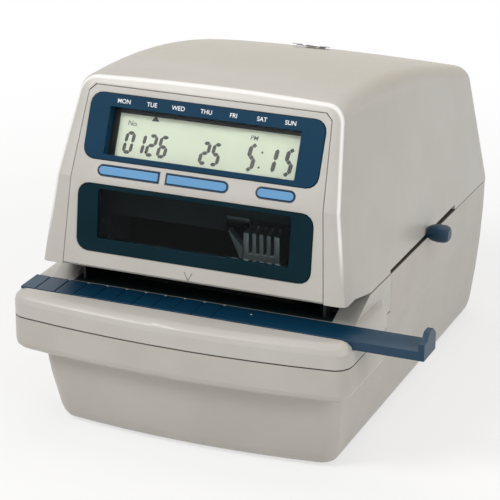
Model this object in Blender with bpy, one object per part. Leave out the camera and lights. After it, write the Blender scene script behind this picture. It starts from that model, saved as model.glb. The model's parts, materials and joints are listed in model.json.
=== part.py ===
"""Desk-top date and time stamp machine, as an assembly of separate pieces.

Lengths are metres.  In the machine's own frame +X is to the user's right, +Y is towards the
back and +Z is up.  X = 0 is the plane of symmetry, Y = 0 the front corners of the pedestal and
Z = 0 the table.  Everything hangs on one empty that moves the middle of the whole machine's
box, paper guide included, over the world's origin.
"""
import math

import bmesh
import bpy

# General clearances
GAP = 0.0003
OVERRUN = 0.006
WALL = 0.0025

# Lower body: pedestal, ledge and parting line
BASE_LIFT = 0.0015
BASE_WIDTH_LOW = 0.1480
BASE_WIDTH_PARTING = 0.1614
BASE_DEPTH_LOW = 0.2240
BASE_DEPTH_PARTING = 0.2262
PEDESTAL_FRONT_LEAN = 0.0130
PEDESTAL_BOW = 0.0047
PEDESTAL_CORNER = 0.0090
PEDESTAL_FOOT_ROUND = 0.0028
PEDESTAL_FOOT_RISE = 0.0075
LEDGE_LEFT = 0.0911
LEDGE_RIGHT = 0.0865
LEDGE_FRONT_REACH = 0.0180
LEDGE_BOW = 0.0058
LEDGE_CORNER = 0.009
LEDGE_UNDERSIDE = 0.0432
LEDGE_LOW_ROUND = 0.0045
LEDGE_TOP_ROUND = 0.0052
LEDGE_SPLIT = 0.0608
LEDGE_STRAIGHT_TO = 0.036
LEDGE_BLEND_TO = 0.068
LEDGE_WAIST = 0.0740
CAP_BACK = 0.062
PLATFORM_HEIGHT = 0.0734
PARTING_FRONT = 0.0818
PARTING_REAR = 0.0798
CHEEK_FOOT_Y = 0.009
CHEEK_HEAD_Y = 0.031
MOUTH_WIDTH = 0.138
CAP_PLATE = 0.0066
BOSS_SIZE = 0.008
BOSS_HEIGHT = 0.018
FLOOR_RIB_DEPTH = 0.005
FLOOR_RIB_DROP = 0.011
FLOOR_RIB_REACH = 0.0095
FLOOR_RIB_PLACES = (0.072, 0.148)

# Bottom plate, feet and their screws
PLATE_THICKNESS = 0.0015
PLATE_RECESS = 0.0008
FOOT_RADIUS = 0.0075
FOOT_INSET_X = 0.021
FOOT_INSET_FRONT = 0.019
FOOT_INSET_REAR = 0.021
SCREW_RADIUS = 0.0015
SCREW_HEAD_RADIUS = 0.0030
SCREW_HEAD = 0.0012
SCREW_LENGTH = 0.012
SCREW_INSET_X = 0.0125
SCREW_INSET_FRONT = 0.0125
SCREW_INSET_REAR = 0.0145

# Paper guide bar in the platform
GUIDE_LENGTH = 0.2100
GUIDE_LEFT_INSET = 0.0023
GUIDE_FRONT = -0.0088
GUIDE_DEPTH = 0.0170
GUIDE_THICKNESS = 0.0046
GUIDE_PROUD = 0.0004
GUIDE_TAB = 0.0030
GUIDE_TAB_RISE = 0.0074
GUIDE_TAB_STEP = 0.0040
GUIDE_FIRST_MARK = 0.0081
GUIDE_PITCH = 0.0105
GUIDE_MARKS = 10
GUIDE_GROOVE = 0.0007
GUIDE_NOTCH = 0.0012
KEEL_LENGTH = 0.050
KEEL_CENTRE = 0.015
KEEL_WIDTH = 0.004
KEEL_DROP = 0.0034
GUIDE_TRAVEL_LEFT = 0.050
GUIDE_TRAVEL_RIGHT = 0.020
RETAINER_WIDTH = 0.010
RETAINER_THICKNESS = 0.0012

# Throat: floor plate, platen and mask plate
THROAT_BACK = 0.170
THROAT_PLATE = 0.0020
THROAT_HALF = 0.0740
PLATEN_HALF = 0.044
PLATEN_FRONT = 0.0245
PLATEN_DEPTH = 0.0130
PLATEN_THICKNESS = 0.0030
MASK_UNDERSIDE = 0.0845
MASK_PLATE = 0.0015
MASK_FRONT = 0.0055
MASK_LIP = 0.0045
APERTURE_HALF = 0.0440
APERTURE_MARGIN = 0.0012

# Chassis: side plates, motor plate and rear bracket
SHEET = 0.0015
SIDE_PLATE_INNER = 0.0632
SIDE_PLATE_FRONT = 0.012
SIDE_PLATE_STEP_Y = 0.064
SIDE_PLATE_RISE = 0.0526
SIDE_PLATE_REAR_RISE = 0.0266
SIDE_PLATE_CHAMFER = 0.010
FLANGE_REACH = 0.0038
FLANGE_FRONT = 0.020
FLANGE_BACK = 0.056
MOTOR_PLATE_Y = 0.0620
MOTOR_PLATE_BOTTOM = 0.0945
REAR_BRACKET_HALF = 0.030
REAR_BRACKET_Y = 0.1615
REAR_BRACKET_HEAD = 0.0040
STRIKE_REACH = 0.014
STRIKE_SLOT = 0.0042
STRIKE_SIDE = 0.0015

# Print carriage, head and drive
SHAFT_RADIUS = 0.0030
SHAFT_Y = 0.0440
SHAFT_Z = 0.1060
CARRIAGE_X = 0.0280
CARRIAGE_HALF = 0.0130
CARRIAGE_FRONT = 0.0360
CARRIAGE_BACK = 0.0535
CARRIAGE_BOTTOM = 0.0970
CARRIAGE_TOP = 0.1120
FINGER_TOP = 0.1147
FINGER_DEPTH = 0.006
CARRIAGE_RAIL_Y = 0.0380
CARRIAGE_RAIL_THICKNESS = 0.0015
CARRIAGE_RAIL_DEPTH = 0.005
CLAMP_HALF = 0.0060
CLAMP_LIP = 0.0022
BUSH_WALL = 0.0015
BUSH_LENGTH = 0.006
HEAD_HALF = 0.0095
HEAD_FRONT = 0.0200
HEAD_BOTTOM = 0.0930
HEAD_TOP = 0.1080
HEAD_FIN = 0.0016
HEAD_FINS = 4
NOSE_RADIUS = 0.0035
NOSE_TIP = 0.0886
BLADE_THICKNESS = 0.0008
BLADE_REACH = 0.0070
BLADE_WIDTH = 0.0045
PULLEY_RADIUS = 0.0090
PULLEY_FLANGE = 0.0012
PULLEY_WIDTH = 0.0052
PULLEY_Y = 0.0550
PULLEY_LEFT_X = -0.048
PULLEY_RIGHT_X = 0.052
BELT_THICKNESS = 0.0012
AXLE_RADIUS = 0.0015
MOTOR_RADIUS = 0.0135
MOTOR_LENGTH = 0.0200

# Ribbon cassette
CASSETTE_HALF = 0.0600
CASSETTE_FRONT = 0.0160
CASSETTE_BACK = 0.0500
CASSETTE_BOTTOM = 0.1170
CASSETTE_TOP = 0.1255
CASSETTE_SKIRT = 0.0025
CASSETTE_SKIRT_BOTTOM = 0.1092
CASSETTE_SKIRT_RIGHT = 0.0107
ARM_WIDTH = 0.0100
ARM_FRONT = 0.0160
ARM_BACK = 0.0370
ARM_BOTTOM = 0.0868
RIBBON_HEIGHT = 0.0005
RIBBON_LIFT = 0.0010
KNOB_RADIUS = 0.0055
KNOB_Z = 0.1005
KNOB_LENGTH = 0.0048
KNOB_STEM = 0.0020

# Paper stop, its carriage, rail and lever
RAIL_X = 0.0700
RAIL_Z = 0.0790
RAIL_RADIUS = 0.0025
LEVER_Y = 0.1165
STOP_TRAVEL_FRONT = 0.045
STOP_TRAVEL_BACK = 0.035
SLIDER_HALF = 0.0042
SLIDER_DEPTH = 0.0130
SLIDER_BOTTOM = 0.0745
SLIDER_TOP = 0.0870
LEVER_STEM_DEPTH = 0.0040
LEVER_STEM_BOTTOM = 0.0818
LEVER_STEM_TOP = 0.0830
LEVER_KNOB_REACH = 0.0118
LEVER_KNOB_DEPTH = 0.0095
LEVER_KNOB_HEIGHT = 0.0090
LEVER_KNOB_ROUND = 0.0038
LEVER_KNOB_LIFT = 0.0020
LEVER_KNOB_SHARES = ((0, 0.62), (0.2, 0.88), (0.5, 1), (0.8, 0.97), (0.94, 0.84), (1, 0.62))
NOTCH_TOP = 0.0834
NOTCH_MARGIN = 0.0070
STOP_BAR_DEPTH = 0.0030
STOP_BAR_BOTTOM = 0.0750
STOP_BAR_TOP = 0.0836
STOP_BAR_LEFT = -0.040

# Paper switch
SWITCH_X = 0.0500
SWITCH_Y = 0.0600
SWITCH_WIDTH = 0.0060
SWITCH_LENGTH = 0.0120
SWITCH_HEIGHT = 0.0070
FEELER_THICKNESS = 0.0010
FEELER_DROP = 0.0080
FEELER_SWING_ROOM = 0.0080

# Electrics in the pedestal
BOARD_THICKNESS = 0.0016
MAIN_BOARD_HALF = 0.050
MAIN_BOARD_FRONT = 0.020
MAIN_BOARD_REAR_ROOM = 0.099
MAIN_BOARD_HEIGHT = 0.016
STANDOFF_RADIUS = 0.003
CHIP_HEIGHT = 0.003
CHIP_SIZE = 0.012
CORE_X = -0.026
CORE_REAR_ROOM = 0.059
CORE_WIDTH = 0.050
CORE_DEPTH = 0.036
CORE_HEIGHT = 0.042
CORE_LEG = 0.009
BATTERY_X = 0.030
BATTERY_REAR_ROOM = 0.064
BATTERY_RADIUS = 0.0085
BATTERY_LENGTH = 0.050
INLET_X = -0.030
INLET_Z = 0.028
INLET_WIDTH = 0.0240
INLET_HEIGHT = 0.0180
INLET_DEPTH = 0.0160
INLET_PIN_RADIUS = 0.0012
INLET_PIN_SPREAD = 0.0086

# Cover
MOUTH_HEIGHT = 0.0131
BEND_Y = 0.0033
BEND_SHARE = 0.4852
LOWER_PANEL_ANGLE = 7.2
UPPER_PANEL_ANGLE = 23.4
COVER_FRONT_RISE = 0.0911
COVER_ROOF_DROP = 0.0296
COVER_TAPER = 0.129
COVER_ROOF_CORNER = 0.0100
COVER_CROWN = 0.0012
COVER_BACK_LEAN = 0.211
COVER_FRONT_EDGE = 0.0030
COVER_REAR_EDGE = 0.0085

# Front bezel, seams measured on the panel
BEZEL_HALF_LIP = 0.0684
BEZEL_HALF_BEND = 0.0655
BEZEL_BROW = 0.0048
BEZEL_THICKNESS = 0.0025
BEZEL_CHAMFER = 0.0012
BEZEL_TOP_CORNER = 0.0030

# Display on the upper panel; shares run from the bend to the bezel's top
LCD_HALF = 0.0609
LCD_SHARES = (0.2202, 0.9265)
LCD_ROUND = 0.0060
LCD_PROUD = 0.0006
LCD_FRAME_DEPTH = 0.0050
LCD_GLASS_LEFT = -0.0502
LCD_GLASS_RIGHT = 0.0492
LCD_GLASS_SHARES = (0.2790, 0.7891)
LCD_GLASS_ROUND = 0.0006
LENS_THICKNESS = 0.0012
LENS_MARGIN = 0.0020
LCD_THICKNESS = 0.0025
BOARD_SHARES = (0.0327, 0.9592)
BOARD_HALF = 0.0600
TACT_HEIGHT = 0.0028

# Buttons on the upper panel: left edge, right edge, left end round, right end round
BUTTON_SHARES = (0.0589, 0.1591)
BUTTONS = {
    "left_button": (-0.0514, -0.0196, True, False),
    "middle_button": (-0.0153, 0.0163, False, True),
    "right_button": (0.0315, 0.0505, True, True),
}
BUTTON_SQUARE_ROUND = 0.0004
BUTTON_PROUD = 0.0004
BUTTON_DEPTH = 0.0055
BUTTON_FLANGE = 0.0008
BUTTON_FLANGE_HEIGHT = 0.0010

# Window on the lower panel; shares run from the bend down to the lip
WINDOW_HALF = 0.0612
WINDOW_SHARES = (-0.8013, -0.0494)
WINDOW_ROUND = 0.0060
WINDOW_DEPTH = 0.0040
WINDOW_CLEAR_HALF = 0.0500
WINDOW_CLEAR_SHARES = (-0.6442, -0.1010)
WINDOW_CLEAR_ROUND = 0.0010
WINDOW_LENS_SINK = 0.0006
WINDOW_LENS = 0.0020

# Cover lock in the roof
LOCK_X = -0.0100
LOCK_SHARE = 0.880
LOCK_RADIUS = 0.0080
LOCK_FLANGE_RADIUS = 0.0105
LOCK_FLANGE = 0.0009
LOCK_LENGTH = 0.0200
PLUG_RADIUS = 0.0055
PLUG_TAIL_RADIUS = 0.0030
PLUG_TAIL = 0.0035
KEYWAY_WIDTH = 0.0012
KEYWAY_LENGTH = 0.0060
KEYWAY_DEPTH = 0.0040
CAM_LENGTH = 0.0200
CAM_WIDTH = 0.0080
CAM_THICKNESS = 0.0016

# Heights and runs that follow from the sizes above
BASE_DEPTH = max(BASE_DEPTH_LOW, BASE_DEPTH_PARTING)
MAIN_BOARD_BACK = BASE_DEPTH_LOW - MAIN_BOARD_REAR_ROOM
CORE_Y = BASE_DEPTH_LOW - CORE_REAR_ROOM
BATTERY_Y = BASE_DEPTH_LOW - BATTERY_REAR_ROOM
SIDE_PLATE_TALL = PLATFORM_HEIGHT + SIDE_PLATE_RISE
SIDE_PLATE_LOW = PLATFORM_HEIGHT + SIDE_PLATE_REAR_RISE
LIP_HEIGHT = PLATFORM_HEIGHT + MOUTH_HEIGHT
COVER_FRONT_HEIGHT = LIP_HEIGHT + COVER_FRONT_RISE
BEND_Z = LIP_HEIGHT + BEND_SHARE * COVER_FRONT_RISE
BEZEL_TOP = COVER_FRONT_HEIGHT - BEZEL_BROW
UPPER_RUN = (BEZEL_TOP - BEND_Z) / math.cos(math.radians(UPPER_PANEL_ANGLE))
LOWER_RUN = (BEND_Z - LIP_HEIGHT) / math.cos(math.radians(LOWER_PANEL_ANGLE))
LCD_LOW, LCD_HIGH = (share * UPPER_RUN for share in LCD_SHARES)
LCD_GLASS_LOW, LCD_GLASS_HIGH = (share * UPPER_RUN for share in LCD_GLASS_SHARES)
BOARD_LOW, BOARD_HIGH = (share * UPPER_RUN for share in BOARD_SHARES)
BUTTON_LOW, BUTTON_HIGH = (share * UPPER_RUN for share in BUTTON_SHARES)
WINDOW_LOW, WINDOW_HIGH = (share * LOWER_RUN for share in WINDOW_SHARES)
WINDOW_CLEAR_LOW, WINDOW_CLEAR_HIGH = (share * LOWER_RUN for share in WINDOW_CLEAR_SHARES)

# Facets
FRONT_STEPS = 9
FLARE_STEPS = 4
SIDE_STEPS = 6
COVER_STEPS = 10
CORNER_STEPS = 4
ROUND_STEPS = 20

# Colours: red, green, blue, roughness, metallic
FINISHES = {
    "beige_plastic": (0.60, 0.56, 0.50, 0.5, 0.0),
    "navy_plastic": (0.012, 0.045, 0.105, 0.35, 0.0),
    "dark_gloss": (0.008, 0.024, 0.038, 0.15, 0.0),
    "clear_lens": (0.60, 0.66, 0.62, 0.05, 0.0),
    "smoked_lens": (0.03, 0.05, 0.05, 0.05, 0.0),
    "display_glass": (0.56, 0.61, 0.47, 0.25, 0.0),
    "button_blue": (0.12, 0.35, 0.68, 0.4, 0.0),
    "sheet_steel": (0.55, 0.56, 0.57, 0.35, 1.0),
    "dark_steel": (0.20, 0.20, 0.21, 0.4, 1.0),
    "chrome": (0.75, 0.75, 0.76, 0.15, 1.0),
    "brass": (0.65, 0.50, 0.22, 0.3, 1.0),
    "black_plastic": (0.02, 0.02, 0.022, 0.5, 0.0),
    "grey_plastic": (0.22, 0.22, 0.23, 0.5, 0.0),
    "rubber": (0.03, 0.03, 0.03, 0.85, 0.0),
    "ribbon_cloth": (0.015, 0.012, 0.025, 0.9, 0.0),
    "board_green": (0.03, 0.16, 0.07, 0.5, 0.0),
    "coil_amber": (0.42, 0.22, 0.06, 0.45, 0.0),
    "battery_wrap": (0.05, 0.20, 0.30, 0.4, 0.0),
}


# Mesh helpers

def clear_scene():
    for item in list(bpy.data.objects):
        bpy.data.objects.remove(item)


def finish_of(name):
    """The named material, made once."""
    material = bpy.data.materials.get(name)
    if material is None:
        red, green, blue, roughness, metallic = FINISHES[name]
        material = bpy.data.materials.new(name)
        material.use_nodes = True
        shader = material.node_tree.nodes["Principled BSDF"]
        shader.inputs["Base Color"].default_value = (red, green, blue, 1.0)
        shader.inputs["Roughness"].default_value = roughness
        shader.inputs["Metallic"].default_value = metallic
    return material


def add_empty(name, parent=None, location=(0, 0, 0), turn=None):
    empty = bpy.data.objects.new(name, None)
    bpy.context.collection.objects.link(empty)
    empty.parent = parent
    empty.location = location
    if turn is not None:
        empty.rotation_euler = turn
    return empty


def add_solid(name, bm, parent, finish=None):
    """Turn a bmesh into an object in its parent's frame, faces outwards."""
    bmesh.ops.recalc_face_normals(bm, faces=bm.faces)
    mesh = bpy.data.meshes.new(name)
    bm.to_mesh(mesh)
    bm.free()
    solid = bpy.data.objects.new(name, mesh)
    bpy.context.collection.objects.link(solid)
    solid.parent = parent
    if finish is not None:
        mesh.materials.append(finish_of(finish))
    return solid


def bake(solid):
    """Make an object's modifiers part of its mesh."""
    bpy.context.view_layer.update()
    graph = bpy.context.evaluated_depsgraph_get()
    mesh = bpy.data.meshes.new_from_object(solid.evaluated_get(graph))
    solid.modifiers.clear()
    solid.data = mesh
    return solid


def combine(solid, tool, operation, keep_tool=False):
    """Boolean a tool into a solid, and drop the tool unless it is needed again."""
    modifier = solid.modifiers.new(operation.lower(), "BOOLEAN")
    modifier.operation = operation
    modifier.solver = "EXACT"
    modifier.object = tool
    bake(solid)
    if not keep_tool:
        bpy.data.objects.remove(tool)
    return solid


def cut(solid, *tools):
    for tool in tools:
        combine(solid, tool, "DIFFERENCE")
    return solid


def join(solid, *others):
    for other in others:
        combine(solid, other, "UNION")
    return solid


def copy_of(solid, name):
    twin = solid.copy()
    twin.data = solid.data.copy()
    twin.name = name
    bpy.context.collection.objects.link(twin)
    return twin


def smooth(solid, angle=35):
    solid.data.shade_smooth()
    solid.data.set_sharp_from_angle(angle=math.radians(angle))
    return solid


def loft(name, rings, parent, finish=None):
    """A closed solid through rings of equally many points, capped at both ends."""
    bm = bmesh.new()
    loops = [[bm.verts.new(point) for point in ring] for ring in rings]
    for low, high in zip(loops, loops[1:]):
        for i in range(len(low)):
            j = (i + 1) % len(low)
            bm.faces.new((low[i], low[j], high[j], high[i]))
    bm.faces.new(loops[0][::-1])
    bm.faces.new(loops[-1])
    return add_solid(name, bm, parent, finish)


def prism(name, outline, axis, low, high, parent, finish=None):
    """An outline in the two other axes, in X, Y, Z order, run along one axis."""
    def point(pair, depth):
        values = list(pair)
        values.insert("XYZ".index(axis), depth)
        return values
    rings = [[point(pair, depth) for pair in outline] for depth in (low, high)]
    return loft(name, rings, parent, finish)


def box(name, low, high, parent, finish=None):
    corners = [(low[0], low[1]), (high[0], low[1]), (high[0], high[1]), (low[0], high[1])]
    return prism(name, corners, "Z", low[2], high[2], parent, finish)


def arc(centre, radius, start, end, steps):
    """Points from one angle to another, in degrees, both ends included."""
    points = []
    for i in range(steps + 1):
        angle = math.radians(start + (end - start) * i / steps)
        points.append((centre[0] + radius * math.cos(angle), centre[1] + radius * math.sin(angle)))
    return points


def circle(centre, radius, steps=ROUND_STEPS):
    return arc(centre, radius, 0, 360, steps)[:-1]


def rod(name, axis, centre, radius, low, high, parent, finish=None, steps=ROUND_STEPS):
    """A round bar along an axis; centre is its place in the two other axes."""
    return prism(name, circle(centre, radius, steps), axis, low, high, parent, finish)


def round_box_outline(left, right, low, high, radii):
    """A rectangle whose corners have their own radii: low left, low right, high right, high left."""
    places = ((left, low, 180), (right, low, 270), (right, high, 0), (left, high, 90))
    points = []
    for (x, y, start), radius in zip(places, radii):
        inner_x = x + radius if x == left else x - radius
        inner_y = y + radius if y == low else y - radius
        points += arc((inner_x, inner_y), radius, start, start + 90, CORNER_STEPS)
    return points


def round_plate(name, span, rise, depth, radii, parent, finish=None):
    """A plate with rounded corners in a panel's own frame, Z along the panel's outward normal."""
    outline = round_box_outline(span[0], span[1], rise[0], rise[1], radii)
    return prism(name, outline, "Z", depth[0], depth[1], parent, finish)


# Lower body

def flare_at(height):
    """How far the lower body has flared, from 0 at its bottom to 1 at the parting."""
    left = (PARTING_FRONT - height) / (PARTING_FRONT - BASE_LIFT)
    return 1 - left * abs(left)


def wall_half(height):
    """Half width of the lower body's side wall."""
    return (BASE_WIDTH_LOW + (BASE_WIDTH_PARTING - BASE_WIDTH_LOW) * flare_at(height)) / 2


def back_of(height):
    share = (height - BASE_LIFT) / (PARTING_FRONT - BASE_LIFT)
    return BASE_DEPTH_LOW + (BASE_DEPTH_PARTING - BASE_DEPTH_LOW) * share


def parting_at(y):
    share = (y - CHEEK_HEAD_Y) / (BASE_DEPTH_PARTING - CHEEK_HEAD_Y)
    return PARTING_FRONT + (PARTING_REAR - PARTING_FRONT) * share


def bowed_front(run, front, bow):
    """Points of a front edge that swells forward, its two ends left out."""
    shares = [2 * i / FRONT_STEPS - 1 for i in range(1, FRONT_STEPS)]
    return [(run * share, front - bow * (1 - share * share)) for share in shares]


def pedestal_ring(height, inset):
    half = wall_half(height) - inset
    front = inset - PEDESTAL_FRONT_LEAN * flare_at(height)
    back = back_of(height) - inset
    radius = PEDESTAL_CORNER - inset
    run = half - radius
    points = bowed_front(run, front, PEDESTAL_BOW)
    points += arc((run, front + radius), radius, -90, 0, CORNER_STEPS)
    points += arc((run, back - radius), radius, 0, 90, CORNER_STEPS)
    points += arc((-run, back - radius), radius, 90, 180, CORNER_STEPS)
    points += arc((-run, front + radius), radius, 180, 270, CORNER_STEPS)
    return [(x, y, height) for x, y in points]


def pedestal(name, low, high, inset, parent):
    """The body's outer form or its hollow, its foot rounded in all the way round."""
    rings = [pedestal_ring(low, inset + PEDESTAL_FOOT_ROUND)] if low < BASE_LIFT else []
    for degrees in (0, 30, 60, 90):
        angle = math.radians(degrees)
        rings.append(pedestal_ring(BASE_LIFT + PEDESTAL_FOOT_RISE * (1 - math.cos(angle)),
                                   inset + PEDESTAL_FOOT_ROUND * (1 - math.sin(angle))))
    flare_from = BASE_LIFT + PEDESTAL_FOOT_RISE
    for i in range(1, FLARE_STEPS):
        rings.append(pedestal_ring(flare_from + (PARTING_FRONT - flare_from) * i / FLARE_STEPS, inset))
    rings.append(pedestal_ring(high, inset))
    return loft(name, rings, parent)


def ledge_side(half, front, radius, inset):
    """One side of the ledge's plan, from the front corner to where it has blended in."""
    waist = LEDGE_WAIST - inset
    points = arc((half - radius, front + radius), radius, -90, 0, CORNER_STEPS)
    for i in range(SIDE_STEPS + 1):
        share = i / SIDE_STEPS
        ease = share * share * (3 - 2 * share)
        y = LEDGE_STRAIGHT_TO + (LEDGE_BLEND_TO - LEDGE_STRAIGHT_TO) * share
        points.append((half + (waist - half) * ease, y))
    return points


def ledge_ring(height, inset):
    """The ledge's plan: wide and bowed in front, blending into the side walls behind."""
    front = inset - LEDGE_FRONT_REACH
    radius = LEDGE_CORNER - inset / 2
    right = ledge_side(LEDGE_RIGHT - inset, front, radius, inset)
    left = [(-x, y) for x, y in reversed(ledge_side(LEDGE_LEFT - inset, front, radius, inset))]
    middle = (right[0][0] + left[-1][0]) / 2
    run = (right[0][0] - left[-1][0]) / 2
    points = [(middle + x, y) for x, y in bowed_front(run, front, LEDGE_BOW)] + right + left
    return [(x, y, height) for x, y in points]


def ledge(name, inset, parent):
    """The ledge's outer form, or its hollow when an inset is given."""
    if inset:
        rings = [ledge_ring(LEDGE_UNDERSIDE + inset, inset + LEDGE_LOW_ROUND / 2),
                 ledge_ring(LEDGE_UNDERSIDE + inset + LEDGE_LOW_ROUND / 2, inset),
                 ledge_ring(PARTING_FRONT + OVERRUN, inset)]
        return loft(name, rings, parent)
    rings = []
    for degrees in (0, 30, 60, 90):
        angle = math.radians(degrees)
        rings.append(ledge_ring(LEDGE_UNDERSIDE + LEDGE_LOW_ROUND * (1 - math.cos(angle)),
                                LEDGE_LOW_ROUND * (1 - math.sin(angle))))
    for degrees in (0, 30, 60, 90):
        angle = math.radians(degrees)
        rings.append(ledge_ring(PLATFORM_HEIGHT - LEDGE_TOP_ROUND * (1 - math.sin(angle)),
                                LEDGE_TOP_ROUND * (1 - math.cos(angle))))
    return loft(name, rings, parent)


def lower_body(root):
    """The outer form that the base and the platform cap share."""
    body = pedestal("body_form", BASE_LIFT, PARTING_FRONT + OVERRUN, 0, root)
    front = -LEDGE_FRONT_REACH - LEDGE_BOW - OVERRUN
    rear = BASE_DEPTH + OVERRUN
    top = PARTING_FRONT + OVERRUN + OVERRUN
    below = PLATFORM_HEIGHT - GAP
    above = [(front, below), (CHEEK_FOOT_Y, below), (CHEEK_HEAD_Y, parting_at(CHEEK_HEAD_Y)),
             (rear, parting_at(rear)), (rear, top), (front, top)]
    wide = LEDGE_LEFT + OVERRUN
    mouth = box("mouth_tool", (-MOUTH_WIDTH / 2, front, below),
                (MOUTH_WIDTH / 2, CAP_BACK + OVERRUN, top), root)
    cut(body, prism("above_tool", above, "X", -wide, wide, root), mouth)
    return join(body, ledge("ledge_form", 0, root))


def body_hollow(root):
    hollow = pedestal("hollow_form", BASE_LIFT - OVERRUN, PARTING_FRONT + OVERRUN, WALL, root)
    return join(hollow, ledge("ledge_hollow", WALL, root))


def base_boss(x, y, root):
    """A square screw boss that grows out of the side wall."""
    outer = math.copysign(wall_half(BASE_LIFT) - WALL / 2, x)
    inner = x - math.copysign(BOSS_SIZE / 2, x)
    low = BASE_LIFT + PLATE_RECESS + PLATE_THICKNESS + GAP
    boss = box("boss", (min(outer, inner), y - BOSS_SIZE / 2, low),
               (max(outer, inner), y + BOSS_SIZE / 2, low + BOSS_HEIGHT), root)
    return cut(boss, rod("boss_bore", "Z", (x, y), SCREW_RADIUS + GAP, low - OVERRUN,
                         low + SCREW_LENGTH, root))


def screw_places():
    x = BASE_WIDTH_LOW / 2 - SCREW_INSET_X
    return [(side * x, y) for side in (-1, 1)
            for y in (SCREW_INSET_FRONT, BASE_DEPTH_LOW - SCREW_INSET_REAR)]


def make_base_shell(body, hollow, root):
    shell = copy_of(body, "base_shell")
    shell.data.materials.append(finish_of("beige_plastic"))
    front = -LEDGE_FRONT_REACH - LEDGE_BOW - OVERRUN
    wide = LEDGE_LEFT + OVERRUN
    cut(shell, box("split_tool", (-wide, front, LEDGE_SPLIT), (wide, CAP_BACK, PARTING_FRONT + OVERRUN),
                   root))
    combine(shell, hollow, "DIFFERENCE", keep_tool=True)
    for x, y in screw_places():
        join(shell, base_boss(x, y, root))
    top = PLATFORM_HEIGHT - THROAT_PLATE - GAP
    outer = wall_half(top) - WALL / 2
    for side in (-1, 1):
        for y in FLOOR_RIB_PLACES:
            ends = sorted((side * outer, side * (outer - FLOOR_RIB_REACH)))
            join(shell, box("rib", (ends[0], y, top - FLOOR_RIB_DROP),
                            (ends[1], y + FLOOR_RIB_DEPTH, top), root))
    rear = back_of(INLET_Z)
    cut(shell, box("inlet_hole", (INLET_X - INLET_WIDTH / 2 - GAP, rear - WALL - OVERRUN,
                                  INLET_Z - INLET_HEIGHT / 2 - GAP),
                   (INLET_X + INLET_WIDTH / 2 + GAP, rear + OVERRUN, INLET_Z + INLET_HEIGHT / 2 + GAP),
                   root))
    return smooth(shell)


def make_platform_cap(body, hollow, root):
    """Top of the ledge with the cheeks beside the mouth and the channel for the paper guide."""
    cap = copy_of(body, "platform_cap")
    cap.data.materials.append(finish_of("beige_plastic"))
    front = -LEDGE_FRONT_REACH - LEDGE_BOW - OVERRUN
    wide = LEDGE_LEFT + OVERRUN
    keep = box("cap_keep", (-wide, front, LEDGE_SPLIT + GAP),
               (wide, CAP_BACK - GAP, PARTING_FRONT + OVERRUN), root)
    combine(cap, keep, "INTERSECT")
    under = copy_of(hollow, "cap_hollow")
    floor = PLATFORM_HEIGHT - CAP_PLATE
    combine(under, box("under_keep", (-wide, front, 0), (wide, BASE_DEPTH, floor), root), "INTERSECT")
    cut(cap, under)
    channel_floor = guide_bottom() - GAP
    channel = box("channel", (-wide, GUIDE_FRONT - GAP, channel_floor),
                  (wide, GUIDE_FRONT + GUIDE_DEPTH + GAP, PARTING_FRONT + OVERRUN), root)
    middle = GUIDE_FRONT + GUIDE_DEPTH / 2
    slot = box("keel_slot", (KEEL_CENTRE - KEEL_LENGTH / 2 - GUIDE_TRAVEL_LEFT - GAP,
                             middle - KEEL_WIDTH / 2 - GAP, 0),
               (KEEL_CENTRE + KEEL_LENGTH / 2 + GUIDE_TRAVEL_RIGHT + GAP, middle + KEEL_WIDTH / 2 + GAP,
                PLATFORM_HEIGHT), root)
    pocket = box("platen_pocket", (-PLATEN_HALF - GAP, PLATEN_FRONT - GAP,
                                   PLATFORM_HEIGHT - PLATEN_THICKNESS - GAP),
                 (PLATEN_HALF + GAP, PLATEN_FRONT + PLATEN_DEPTH + GAP, PLATFORM_HEIGHT + OVERRUN), root)
    return smooth(cut(cap, channel, slot, pocket))


def make_bottom_plate(root):
    low = BASE_LIFT + PLATE_RECESS
    inset = WALL + GAP + PEDESTAL_FOOT_ROUND
    rings = [pedestal_ring(low, inset), pedestal_ring(low, inset)]
    rings[1] = [(x, y, low + PLATE_THICKNESS) for x, y, _ in rings[1]]
    plate = loft("bottom_plate", rings, root, "sheet_steel")
    for x, y in screw_places():
        cut(plate, rod("plate_hole", "Z", (x, y), SCREW_RADIUS + GAP, 0, low + OVERRUN, root))
    inset = 2 * STANDOFF_RADIUS
    for x in (inset - MAIN_BOARD_HALF, MAIN_BOARD_HALF - inset):
        for y in (MAIN_BOARD_FRONT + inset, MAIN_BOARD_BACK - inset):
            join(plate, rod("standoff", "Z", (x, y), STANDOFF_RADIUS, low + PLATE_THICKNESS / 2,
                            board_floor() + MAIN_BOARD_HEIGHT - GAP, root, steps=10))
    return plate


def turned(name, stack, axis, parent, finish, steps=ROUND_STEPS):
    """A turned solid about an axis of its parent, from (place along the axis, radius) pairs."""
    rings = []
    for depth, radius in stack:
        ring = []
        for pair in circle((0, 0), radius, steps):
            values = list(pair)
            values.insert("XYZ".index(axis), depth)
            ring.append(values)
        rings.append(ring)
    return loft(name, rings, parent, finish)


def make_bottom_screws(root):
    """Four screws up through the bottom plate into the bosses."""
    stack = ((-SCREW_HEAD, SCREW_HEAD_RADIUS), (0, SCREW_HEAD_RADIUS), (0, SCREW_RADIUS),
             (SCREW_LENGTH, SCREW_RADIUS))
    for number, (x, y) in enumerate(screw_places(), 1):
        place = add_empty("screw_place_%d" % number, root, (x, y, BASE_LIFT + PLATE_RECESS - GAP))
        turned("bottom_screw_%d" % number, stack, "Z", place, "sheet_steel", 12)


def make_feet(root):
    x = BASE_WIDTH_LOW / 2 - FOOT_INSET_X
    for end, y in (("front", FOOT_INSET_FRONT), ("rear", BASE_DEPTH_LOW - FOOT_INSET_REAR)):
        for side, word in ((-1, "left"), (1, "right")):
            smooth(rod("foot_%s_%s" % (end, word), "Z", (side * x, y), FOOT_RADIUS,
                       0, BASE_LIFT + PLATE_RECESS - GAP, root, "rubber"))


# Paper guide

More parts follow.
